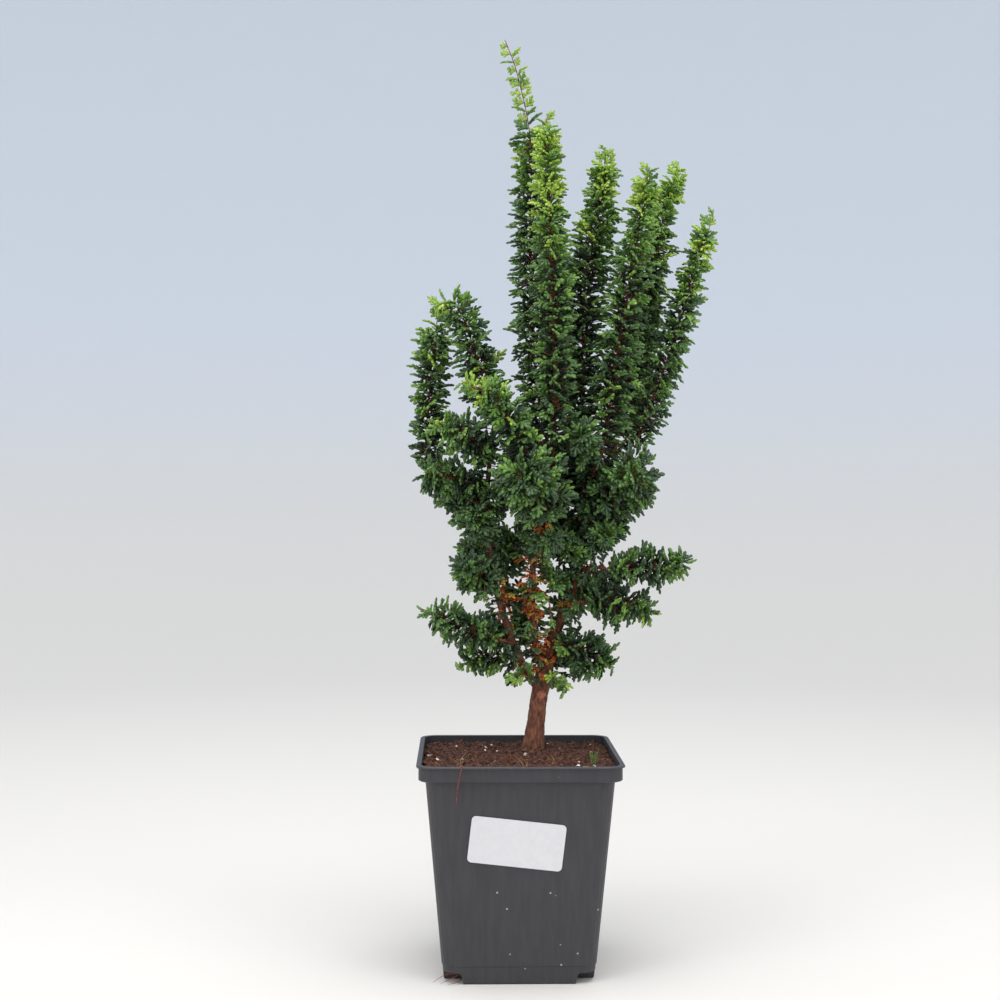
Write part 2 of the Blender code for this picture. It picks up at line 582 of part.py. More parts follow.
def make_trunk(finish):
    """Trunk from the flat cut at soil level, with a lobed root flare, up into the middle leader."""
    path = smooth_path(TRUNK_PATH, TRUNK_LEVELS)
    base_z = path[0].z

    def lobes(angle, level):
        above = path[level].z - base_z
        fullness = FLARE_FULLNESS + math.cos(FLARE_LOBES * angle)
        return FLARE_DEPTH * fullness * math.exp(-above / FLARE_HEIGHT)

    axis = [point.to_3d() for point in path]
    radii = [point[3] for point in path]
    points, faces = tube(axis, radii, TRUNK_SIDES, lobes=lobes)
    for index in range(TRUNK_SIDES):
        points[index].z = base_z
    trunk = add_object("trunk", mesh_from(points, faces), finish)
    trunk.data.shade_smooth()
    remember("trunk", trunk.data)


def make_limb(limb, finish):
    """One tapering stem or bough, standing off its host by the gap."""
    length = path_length([Vector(point) for point in limb.way_points])
    path = smooth_path(limb.way_points, max(4, round(length / LIMB_RING_EVERY)))
    radii = []
    for index in range(len(path)):
        share = (index / (len(path) - 1)) ** LIMB_TAPER_POWER
        radii.append(limb.foot_radius + (limb.tip_radius - limb.foot_radius) * share)
    radii[0] *= LIMB_FOOT_SWELL
    made = add_object(limb.name, mesh_from(*tube(path, radii, LIMB_SIDES)), finish)
    cut_clear(made)
    made.data.shade_smooth()
    remember(limb.name, made.data)


def path_length(path):
    """Length of a line of points."""
    return sum((after - before).length for before, after in zip(path, path[1:]))


def own_space(number, point):
    """Whether a point is nearer, for its reach, to this mass's spine than to any other's."""
    shares = []
    for spine, reaches in SPINES:
        shares.append(min((point - place).length / reach for place, reach in zip(spine, reaches)))
    return shares[number] <= min(shares) + 1e-6


def touches(points, faces):
    """Whether a small solid meets, or lies in, anything made so far."""
    low = Vector(min(point[axis] for point in points) for axis in range(3))
    high = Vector(max(point[axis] for point in points) for axis in range(3))
    tree = BVHTree.FromPolygons(points, faces)
    for name, (other, other_low, other_high) in SOLIDS.items():
        if any(low[axis] > other_high[axis] or high[axis] < other_low[axis] for axis in range(3)):
            continue
        if tree.overlap(other) or inside(name, points[0]) or inside(name, points[-1]):
            return True
    return False


def swollen(points, by):
    """The same points moved away from their middle by a length."""
    middle = sum(points, Vector()) / len(points)
    return [point + (point - middle).normalized() * by for point in points]


def leaf(tip, heading, flat, length):
    """A keeled leaf of six faces that stands for one spray, given by its tip, back to its root."""
    across = heading.cross(flat).normalized()
    up = across.cross(heading).normalized()
    half_width = length * LEAF_WIDTH_SHARE / 2
    thickness = length * LEAF_THICK_SHARE
    widest = tip - heading * length * LEAF_WIDEST_AT
    low = widest - up * thickness * (1 - LEAF_KEEL_SHARE)
    points = [tip - heading * length,
              low + across * half_width,
              low - across * half_width,
              widest + up * thickness * LEAF_KEEL_SHARE,
              tip - Vector((0, 0, length * LEAF_DROOP))]
    faces = [(0, 2, 1), (0, 3, 2), (0, 1, 3), (4, 1, 2), (4, 2, 3), (4, 3, 1)]
    return points, faces


def reach_at(mass, along, length):
    """How far foliage reaches from its spine at a distance along it."""
    reach = mass.foot_reach + (mass.tip_reach - mass.foot_reach) * min(along / length, 1.0)
    reach *= min(1.0, FOOT_FULLNESS + along / (FOOT_SWELL * mass.foot_reach))
    if mass.shape == "plume":
        reach *= min(1.0, (length - along + TIP_BLUNTNESS) / (TIP_TAPER * mass.tip_reach)) ** TIP_POWER
    return reach


def make_core(number, path, length, chance):
    """The dense inside of a mass, lumpy and clear of everything made so far."""
    shape_core = dome_core if MASSES[number].shape == "dome" else plume_core
    points, faces, centres = shape_core(number, path, length, chance)
    for _ in range(CORE_SHRINK_ROUNDS):
        clash = clashing_points(points, faces)
        if not clash:
            break
        for index in clash:
            points[index] = centres[index] + (points[index] - centres[index]) * CORE_SHRINK
    return points, faces


def plume_core(number, path, length, chance):
    """Spindle along the inner part of a plume's spine."""
    mass = MASSES[number]
    start = CORE_START * mass.foot_reach
    span = length * mass.core_share - start
    count = max(4, round(span / CORE_RING_EVERY) + 1)
    frames = frames_along(path)
    rings, centres = [], []
    for level in range(count):
        distance = start + span * level / (count - 1)
        place_on_path = distance / length * (len(path) - 1)
        index = min(int(place_on_path), len(path) - 2)
        _, across, up = frames[index]
        place = path[index].lerp(path[index + 1], place_on_path - index)
        wanted = max(reach_at(mass, distance, length) - CORE_DEPTH, CORE_LEAST)
        wanted *= CORE_END_SHARE if level in (0, count - 1) else 1.0
        ring = []
        for side in range(CORE_SIDES):
            angle = 2 * math.pi * (side + 0.5 * (level % 2)) / CORE_SIDES
            outward = across * math.cos(angle) + up * math.sin(angle)
            radius = clear_radius(number, place, outward, wanted * (1 + chance.uniform(*CORE_LUMPS)))
            ring.append(place + outward * radius)
        rings.append(ring)
        centres += [place] * CORE_SIDES
    points, faces = loft(rings)
    return points, [part for face in faces for part in fan(face)], centres


def dome_core(number, path, length, chance):
    """Ball round the middle of a dome's spine, each corner at the edge of the dense inside."""
    mass = MASSES[number]
    shell = bmesh.new()
    bmesh.ops.create_icosphere(shell, subdivisions=2, radius=1.0)
    centre = path[round((len(path) - 1) * DOME_HEART)]
    dense = [reach_at(mass, length * index / (len(path) - 1), length) - CORE_DEPTH
             for index in range(len(path))]
    points = []
    for corner in shell.verts:
        outward = corner.co.normalized()
        radius = CORE_LEAST
        while any((centre + outward * radius - place).length < reach for place, reach in zip(path, dense)):
            radius += DOME_STEP
        radius = clear_radius(number, centre, outward, radius * (1 + chance.uniform(*DOME_LUMPS)))
        points.append(centre + outward * radius)
    faces = [tuple(corner.index for corner in face.verts) for face in shell.faces]
    shell.free()
    return points, faces, [centre] * len(points)


def fan(face):
    """Triangles of a face, fanned from its first corner."""
    return [(face[0], face[index], face[index + 1]) for index in range(1, len(face) - 1)]


def clear_radius(number, place, outward, radius):
    """The longest reach up to a radius that stays in the mass's own space and clear of solids."""
    for tree, low, high in SOLIDS.values():
        if all(low[axis] - radius < place[axis] < high[axis] + radius for axis in range(3)):
            distance = tree.ray_cast(place, outward, radius + WALL_MARGIN)[3]
            if distance is not None:
                radius = min(radius, distance - WALL_MARGIN)
    while radius > LEAST_RADIUS and not own_space(number, place + outward * (radius + OWN_MARGIN)):
        radius -= OWN_STEP
    return max(radius, LEAST_RADIUS)


def clashing_points(points, faces):
    """The corners of those faces that come too near to a solid made before."""
    tree = BVHTree.FromPolygons(swollen(points, CORE_CLEARANCE), faces)
    found = set()
    for other, _, _ in SOLIDS.values():
        for face, _ in tree.overlap(other):
            found.update(faces[face])
    return found


def make_mass(number, finishes):
    """One mass of foliage: a stem, a core where it is dense, and leaves that stand out of them."""
    mass = MASSES[number]
    chance = random.Random(MASS_SEED + number)
    fine = leave_host(smooth_path(mass.way_points, PATH_SAMPLES), mass.host)
    length = path_length(fine)
    path = resample(fine, max(6, round(length / PATH_STEP)))
    pieces = [mass_stem(mass, path, length)]
    if mass.core_share > 0:
        pieces.append(make_core(number, path, length, chance))
    made = add_object(mass.name, fuse(mass.name, pieces, mass_leaves(number, path, length, chance)))
    cut_clear(made)
    made.data.materials.clear()
    made.data.materials.append(finishes[tone_of(mass.name)])
    remember(mass.name, made.data)


def tone_of(name):
    """Which of the foliage's tones a mass has, by the start of its name."""
    return next(tone for start, tone in TONES if name.startswith(start))


def mass_stem(mass, path, length):
    """Thin stem from the host to just short of the mass's tip."""
    line = resample([Vector(mass.way_points[0])] + path, max(4, round(length / STEM_RING_EVERY)))
    line[-1] = line[-1] - frames_along(line)[-1][0] * STEM_SHORT_OF_TIP
    radii = [STEM_RADIUS + (STEM_TIP_RADIUS - STEM_RADIUS) * index / (len(line) - 1)
             for index in range(len(line))]
    return tube(line, radii, STEM_SIDES)


def mass_leaves(number, path, length, chance):
    """Leaves set round the spine by the golden angle, leaning out and up it, and over its end."""
    mass = MASSES[number]
    frames = frames_along(path)
    side_area = math.pi * (mass.foot_reach + mass.tip_reach) * length
    end_area = 2 * math.pi * reach_at(mass, length, length) ** 2
    count = max(LEAVES_LEAST, round((side_area + end_area) / LEAF_SPACING ** 2))
    side_share = side_area / (side_area + end_area)
    made = []
    for step in range(count):
        share = (step + 0.5) / count
        distance = length * min(LEAF_START + (1 - LEAF_START) * share / side_share, 1.0)
        rise = math.asin(min(max((share - side_share) / (1 - side_share), 0.0), 1.0))
        lean = math.radians(LEAF_LEAN + chance.uniform(-LEAF_LEAN_SPREAD, LEAF_LEAN_SPREAD))
        lean = max(lean, rise)
        index = min(round(distance / length * (len(path) - 1)), len(path) - 1)
        along, across, up = frames[index]
        angle = step * GOLDEN_TURN + chance.uniform(-LEAF_TURN_SPREAD, LEAF_TURN_SPREAD)
        outward = across * math.cos(angle) + up * math.sin(angle)
        heading = (outward * math.cos(lean) + along * math.sin(lean)).normalized()
        reach = reach_at(mass, distance, length) + LEAF_STANDS_PROUD
        root_depth = reach if rise > 0 else reach / math.cos(lean)
        tip = path[index] + (heading if rise > 0 else outward) * reach
        flat = Vector((0, 0, 1)) if abs(heading.z) < 0.8 else outward
        made += fitted_leaf(number, tip, heading, flat, min(LEAF_LENGTH, root_depth + LEAF_STANDS_PROUD))
    along, _, up = frames[-1]
    end_reach = 0.0 if mass.shape == "plume" else reach_at(mass, length, length) + LEAF_STANDS_PROUD
    made += fitted_leaf(number, path[-1] + along * end_reach, along, up, LEAF_LENGTH * END_LEAF_SHARE)
    return made


def fitted_leaf(number, tip, heading, flat, length):
    """A leaf on its root, shortened until it keeps to its own space; none where it can't."""
    root = tip - heading * length
    for shrink in LEAF_SHRINKS:
        points, faces = leaf(root + heading * length * shrink, heading, flat, length * shrink)
        if own_space(number, points[-1]) and not touches(swollen(points, GAP), faces):
            return [(points, faces)]
    return []


def fuse(name, body, leaves):
    """Unites the pieces of one mass into one closed body; leaves it can't take are dropped."""
    for solver, kept in (("EXACT", leaves), ("MANIFOLD", leaves), ("EXACT", leaves[::2]), ("EXACT", [])):
        mesh = united(body + kept, solver)
        if mesh is not None:
            print(name, solver, "leaves", len(kept), "triangles", len(mesh.polygons))
            return mesh
    raise RuntimeError(name + " can't be joined")


def united(pieces, solver):
    """One closed triangle mesh of the pieces, or None where the union isn't closed."""
    group = bpy.data.collections.new("pieces")
    made = [add_object("piece", mesh_from(points, faces)) for points, faces in pieces]
    for piece in made[1:]:
        group.objects.link(piece)
    join = made[0].modifiers.new("join", "BOOLEAN")
    join.operation = "UNION"
    join.operand_type = "COLLECTION"
    join.collection = group
    join.solver = solver
    apply_modifiers(made[0])
    mesh = made[0].data
    for piece in made:
        bpy.data.objects.remove(piece, do_unlink=True)
    bpy.data.collections.remove(group)
    return mesh if largest_body(mesh) else None


def largest_body(mesh):
    """Keeps the biggest connected body of a mesh, as clean triangles; says whether it is closed."""
    shell = bmesh.new()
    shell.from_mesh(mesh)
    bmesh.ops.remove_doubles(shell, verts=shell.verts, dist=MERGE_DISTANCE * MM)
    bmesh.ops.dissolve_degenerate(shell, edges=shell.edges, dist=MERGE_DISTANCE * MM)
    bmesh.ops.triangulate(shell, faces=shell.faces)
    waiting = set(shell.faces)
    biggest = set()
    while waiting:
        body = connected(waiting.pop(), waiting)
        if len(body) > len(biggest):
            biggest = body
    scraps = [face for face in shell.faces if face not in biggest]
    bmesh.ops.delete(shell, geom=scraps, context="FACES")
    bmesh.ops.delete(shell, geom=[vertex for vertex in shell.verts if not vertex.link_faces], context="VERTS")
    bmesh.ops.recalc_face_normals(shell, faces=shell.faces)
    closed = all(len(edge.link_faces) == 2 for edge in shell.edges)
    shell.to_mesh(mesh)
    shell.free()
    return closed


def connected(start, waiting):
    """The faces that hang together with one face, taken out of those still waiting."""
    body, rim = {start}, [start]
    while rim:
        face = rim.pop()
        for other in {other for edge in face.edges for other in edge.link_faces}:
            if other in waiting:
                waiting.discard(other)
                body.add(other)
                rim.append(other)
    return body


def plan_spines():
    """Notes every mass's spine and reach, so that each mass can keep to its own space."""
    for mass in MASSES:
        spine = smooth_path(mass.way_points, SPINE_SAMPLES)
        change = (mass.tip_reach - mass.foot_reach) / (SPINE_SAMPLES - 1)
        SPINES.append((spine, [mass.foot_reach + change * index for index in range(SPINE_SAMPLES)]))


def main():
    clear_scene()
    bark = material("bark", (0.14, 0.065, 0.04), 0.85)
    finishes = {"green": material("foliage_green", (0.07, 0.16, 0.04), 0.6),
                "dark": material("foliage_dark", (0.03, 0.075, 0.035), 0.6),
                "pale": material("foliage_pale", (0.17, 0.27, 0.08), 0.6)}
    make_pot(material("pot_plastic", (0.055, 0.052, 0.055), 0.5))
    make_soil(material("peat", (0.06, 0.025, 0.018), 0.95))
    make_sticker(material("sticker_paper", (0.85, 0.85, 0.84), 0.5))
    make_trunk(bark)
    for limb in LIMBS:
        make_limb(limb, bark)
    plan_spines()
    for number in range(len(MASSES)):
        make_mass(number, finishes)


main()
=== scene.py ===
# %% [markdown]
# # A hinoki cypress bonsai in its nursery pot
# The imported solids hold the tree's true sizes. This lesson dresses them. Each step says what the
# piece is on the real tree, how it could be made, and why one way was chosen. The scene is in
# metres, and the tables below are in millimetres, as a maker would measure a tree this small.

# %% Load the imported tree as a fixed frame
import math
import random
from collections import namedtuple

import bpy
import numpy as np
from mathutils import Matrix, Vector, noise
from numpy.linalg import norm


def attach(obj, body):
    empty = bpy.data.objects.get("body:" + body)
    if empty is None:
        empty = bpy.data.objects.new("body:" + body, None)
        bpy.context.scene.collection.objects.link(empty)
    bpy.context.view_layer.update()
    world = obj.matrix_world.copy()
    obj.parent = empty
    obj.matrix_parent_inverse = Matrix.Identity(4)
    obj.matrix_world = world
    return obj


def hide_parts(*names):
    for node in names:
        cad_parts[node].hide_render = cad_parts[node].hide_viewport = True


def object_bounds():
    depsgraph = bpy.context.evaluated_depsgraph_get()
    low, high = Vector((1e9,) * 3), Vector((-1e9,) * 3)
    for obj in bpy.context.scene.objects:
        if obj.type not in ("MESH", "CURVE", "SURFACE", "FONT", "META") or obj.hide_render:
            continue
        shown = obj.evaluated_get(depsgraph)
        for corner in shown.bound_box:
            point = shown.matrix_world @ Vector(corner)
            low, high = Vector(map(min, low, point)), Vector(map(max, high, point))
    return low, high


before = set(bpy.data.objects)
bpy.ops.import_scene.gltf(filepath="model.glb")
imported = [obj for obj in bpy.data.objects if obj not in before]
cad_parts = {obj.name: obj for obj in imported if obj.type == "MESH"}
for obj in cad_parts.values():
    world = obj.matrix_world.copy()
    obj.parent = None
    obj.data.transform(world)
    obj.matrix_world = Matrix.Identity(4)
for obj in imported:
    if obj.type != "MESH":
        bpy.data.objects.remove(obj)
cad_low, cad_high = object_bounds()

MM = 0.001
print("nodes", len(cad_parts), "size in mm", [round(side / MM) for side in cad_high - cad_low])

# %% [markdown]
# ## The camera
# The tree stands about 0.86 m away, seen level with the middle of its crown through a longish lens.
# A camera can be aimed with a constraint or by its angles. Three angles are written down here, as
# read off a tripod head, because they were found from the pot's straight lip and feet.

# %% Place the camera
CAMERA_PLACE = (-0.03201, -0.85605, 0.2587)
CAMERA_PITCH = math.radians(-0.155)
CAMERA_YAW = math.radians(1.457)
CAMERA_ROLL = math.radians(-0.19)
LENS_MM = 55.56
CLIP_START = 0.01


def add_object(name, data):
    """A new object in the scene, from its data."""
    made = bpy.data.objects.new(name, data)
    bpy.context.scene.collection.objects.link(made)
    return made


lens = bpy.data.cameras.new("camera")
lens.lens = LENS_MM
lens.clip_start = CLIP_START
camera = add_object("camera", lens)
camera.matrix_world = (Matrix.Translation(CAMERA_PLACE) @ Matrix.Rotation(-CAMERA_YAW, 4, "Z")
                       @ Matrix.Rotation(math.pi / 2 + CAMERA_PITCH, 4, "X")
                       @ Matrix.Rotation(-CAMERA_ROLL, 4, "Z"))
bpy.context.scene.camera = camera
print("camera looks along", [round(part, 3) for part in camera.matrix_world.col[2].xyz * -1])

# %% [markdown]
# ## Finishes
# A finish could be one flat colour, but bark, peat and moulded plastic all vary from place to
# place. So each one mixes near colours with noise that is read in the object's own coordinates, and
# stays put when the tree is seen from another side.

# %% Helpers that build a mottled finish
CLOUD_DETAIL = 6.0
RELIEF_DEPTH = 0.4 * MM


def linear(red, green, blue):
    """Colour of a paint chart, from 0 to 255 a channel, as the shader's linear light."""
    shades = [part / 255 for part in (red, green, blue)]
    return tuple(part / 12.92 if part <= 0.04045 else ((part + 0.055) / 1.055) ** 2.4 for part in shades)


def add_node(tree, kind, **values):
    """A new node of a finish. An underscore in a value's name stands for a space."""
    made = tree.nodes.new("ShaderNode" + kind)
    for name, value in values.items():
        made.inputs[name.replace("_", " ")].default_value = value
    return made


def wire(tree, *sockets):
    """Links each output to the input that is named after it."""
    for start, end in zip(sockets[::2], sockets[1::2]):
        tree.links.new(start, end)


def add_relief(tree, height, strength, sunken=False):
    """Fine relief on a finish, read from a node's output."""
    bump = add_node(tree, "Bump", Strength=strength, Distance=RELIEF_DEPTH)
    bump.invert = sunken
    wire(tree, height, bump.inputs["Height"],
         bump.outputs["Normal"], tree.nodes["Principled BSDF"].inputs["Normal"])


def mottled(name, dark, pale, grain, roughness, relief=0.0, stretch=(1.0, 1.0, 1.0), contrast=(0.3, 0.7)):
    """Principled finish whose colour drifts between two, with a matching fine relief."""
    finish = bpy.data.materials.new(name)
    finish.use_nodes = True
    tree = finish.node_tree
    shader = tree.nodes["Principled BSDF"]
    shader.inputs["Roughness"].default_value = roughness
    place = add_node(tree, "TexCoord")
    mapping = add_node(tree, "Mapping", Scale=stretch)
    clouds = add_node(tree, "TexNoise", Scale=grain, Detail=CLOUD_DETAIL)
    ramp = add_node(tree, "ValToRGB")
    for stop, position, colour in zip(ramp.color_ramp.elements, contrast, (dark, pale)):
        stop.position = position
        stop.color = (*linear(*colour), 1.0)
    wire(tree, place.outputs["Object"], mapping.inputs["Vector"],
         mapping.outputs["Vector"], clouds.inputs["Vector"],
         clouds.outputs["Fac"], ramp.inputs["Fac"],
         ramp.outputs["Color"], shader.inputs["Base Color"])
    if relief:
        add_relief(tree, clouds.outputs["Fac"], relief)
    return finish


# %% A helper that adds scales, with painted highlights and painted crease shade, to a finish
SCALE_GRAIN = 760.0
SCALE_RELIEF = 0.5
LEAF_GRAIN = 120.0
LEAF_ROUGHNESS = 0.46
LEAF_CONTRAST = (0.35, 0.65)


def scaly(name, dark, pale):
    """Foliage finish: small scales with a painted highlight on each and painted shade in the darker creases
    between them.
    """
    finish = mottled(name, dark, pale, LEAF_GRAIN, LEAF_ROUGHNESS, contrast=LEAF_CONTRAST)
    tree = finish.node_tree
    base_colour = tree.nodes["Principled BSDF"].inputs["Base Color"]
    cells = add_node(tree, "TexVoronoi", Scale=SCALE_GRAIN)
    # Painted light: each scale's middle is lightened as a painted highlight, and the creases between scales
    # are darkened as painted shade.
    scale_highlight_crease_shade = add_node(tree, "MapRange", From_Min=0.25, From_Max=0.85, To_Min=1.12, To_Max=0.5)
    shade = add_node(tree, "Mix", Factor=1.0)
    shade.data_type = "RGBA"
    shade.blend_type = "MULTIPLY"
    wire(tree, tree.nodes["Texture Coordinate"].outputs["Object"], cells.inputs["Vector"],
         cells.outputs["Distance"], scale_highlight_crease_shade.inputs["Value"],
         base_colour.links[0].from_socket, shade.inputs["A"],
         scale_highlight_crease_shade.outputs["Result"], shade.inputs["B"],
         shade.outputs["Result"], base_colour)
    add_relief(tree, cells.outputs["Distance"], SCALE_RELIEF, True)
    return finish


# %% Helpers that select, coat and seat a piece
def work_on(piece):
    """Selects one piece alone, for the tool that comes next."""
    bpy.ops.object.select_all(action="DESELECT")
    piece.select_set(True)
    bpy.context.view_layer.objects.active = piece


def coat(piece, finish):
    """Gives a piece one finish and shades its faces as a round surface."""
    piece.data.materials.clear()
    piece.data.materials.append(finish)
    for face in piece.data.polygons:
        face.use_smooth = True


def seat(piece, slot_name, *nodes):
    """Makes a finished piece ride on the tree and stands it for its nodes; the slot name is not used."""
    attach(piece, "root")
    if nodes:
        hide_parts(*nodes)


# %% [markdown]
# ## How the tree grows
# The limbs and masses follow the same rule as their solids: smooth curves through a few way points,
# and foliage set round each spine by the golden angle. It could be done point by point, but it is
# written in arrays, because the sprays are many more than the solids' leaves.

# %% Curves through way points
CURVE_STEPS = 24
NEARLY_PARALLEL = 0.9


def smooth_path(way_points, count):
    """Even samples of a smooth curve through the way points."""
    ways = np.array(way_points, float)
    ways = np.vstack([2 * ways[0] - ways[1], ways, 2 * ways[-1] - ways[-2]])
    share = (np.arange(CURVE_STEPS) / CURVE_STEPS)[:, None]
    runs = []
    for before, start, end, after in zip(ways, ways[1:], ways[2:], ways[3:]):
        runs.append(0.5 * (2 * start + (end - before) * share
                           + (2 * before - 5 * start + 4 * end - after) * share ** 2
                           + (3 * start - before - 3 * end + after) * share ** 3))
    return resample(np.vstack(runs + [ways[-2:-1]]), count)


def resample(line, count):
    """The line's points at even steps of arc length, counted in three dimensions."""
    steps = norm(np.diff(line[:, :3], axis=0), axis=1)
    lengths = np.concatenate([[0.0], np.cumsum(steps)])
    goals = np.linspace(0.0, lengths[-1], count)
    return np.column_stack([np.interp(goals, lengths, line[:, axis]) for axis in range(line.shape[1])])


def path_length(line):
    """Length of a line of points."""
    return float(norm(np.diff(line[:, :3], axis=0), axis=1).sum())


def unit(vector):
    """The vector at length one."""
    return vector / max(norm(vector), 1e-9)


def frames_along(path):
    """Tangent and two cross directions at each point, carried along without twist."""
    frames = []
    across = np.array((1.0, 0.0, 0.0))
    for index in range(len(path)):
        along = unit(path[min(index + 1, len(path) - 1)] - path[max(index - 1, 0)])
        if index == 0 and abs(along @ across) > NEARLY_PARALLEL:
            across = np.array((0.0, 1.0, 0.0))
        across = unit(across - along * (across @ along))
        frames.append((along, across, np.cross(along, across)))
    return frames

# %% [markdown]
# ## The limbs' sizes
# One trunk climbs from the peat into the middle leader, two side stems leave it low down, and
# boughs carry the outer leaders and the tiers. Each row gives the way points and the radii.

# %% Way points of trunk, stems and boughs
TRUNK_PATH = (
    (8.6, 9, 117.1, 6),
    (10.2, 8.3, 130, 5),
    (12.2, 8, 145, 4.8),
    (16.1, 9, 163.7, 4.7),
    (21, 10.5, 181, 3.6),
    (30.5, 12, 205.5, 2.8),
    (36, 12.5, 228, 2.4),
    (37, 12.5, 256, 2.1),
    (35.8, 12.5, 290, 1.8),
)
Limb = namedtuple("Limb", "name host way_points foot_radius tip_radius")
LIMBS = [Limb(*row) for row in (
    ("middle_stem", "trunk", ((14.8, 9, 160), (9.6, 2.5, 178), (7.5, -2.5, 205), (9.3, -7, 231.6),
     (15.8, -8.5, 256), (14.2, -2, 290)), 2.5, 1.3),
    ("left_stem", "trunk", ((12.4, 8, 150.5), (2.8, 2.5, 164), (-6.7, -2, 189), (-14.9, -4, 217.8),
     (-17.5, -2.5, 256.4), (-13.5, -6, 300)), 2.6, 1.1),
    ("bough_inner_right_leader", "trunk", ((37, 12.5, 256), (41, 3, 268), (46, -6, 284)), 1.5, 1.1),
    ("bough_rear_right_leader", "trunk", ((37, 12.5, 250), (46, 19, 269), (57, 22.5, 290)), 1.5, 1.1),
    ("bough_outer_right_leader", "trunk", ((36.5, 12.5, 235), (51, 9.5, 262), (64.5, 5, 284)), 1.7, 1.1),
    ("bough_outer_left", "left_stem", ((-17.3, -2.5, 251), (-36, 5.5, 263), (-51, 10, 272)), 1.3, 0.9),
    ("bough_right_tier", "trunk", ((34, 12.3, 216), (40, 1, 219), (47.5, -7, 219)), 1.5, 1),
    ("bough_lower_right", "trunk", ((26.8, 11.3, 196), (31, 5, 199), (36.5, -1, 200)), 1.3, 0.9),
    ("bough_lower_left", "left_stem", ((-1.5, 0.2, 175), (-6, -6, 178), (-11, -10, 180)), 1.3, 0.9),
    ("bough_rear_leader", "trunk", ((37, 12.5, 262), (33, 27, 285), (26.8, 35, 306)), 1.3, 1),
    ("bough_rear_far_leader", "trunk", ((37, 12.5, 244), (48, 32, 268), (64.5, 42, 292)), 1.4, 1),
)]

# %% [markdown]
# ## The masses' sizes
# A mass is a plume, which narrows to a point, or a round dome. Its spine runs from its host
# outward, and two reaches say how far the foliage stands off it at the foot and near the tip. A
# plume's last number is the share of its spine where the foliage is dense; past it the sprays
# stand open. A dome is dense all over and has no such number.

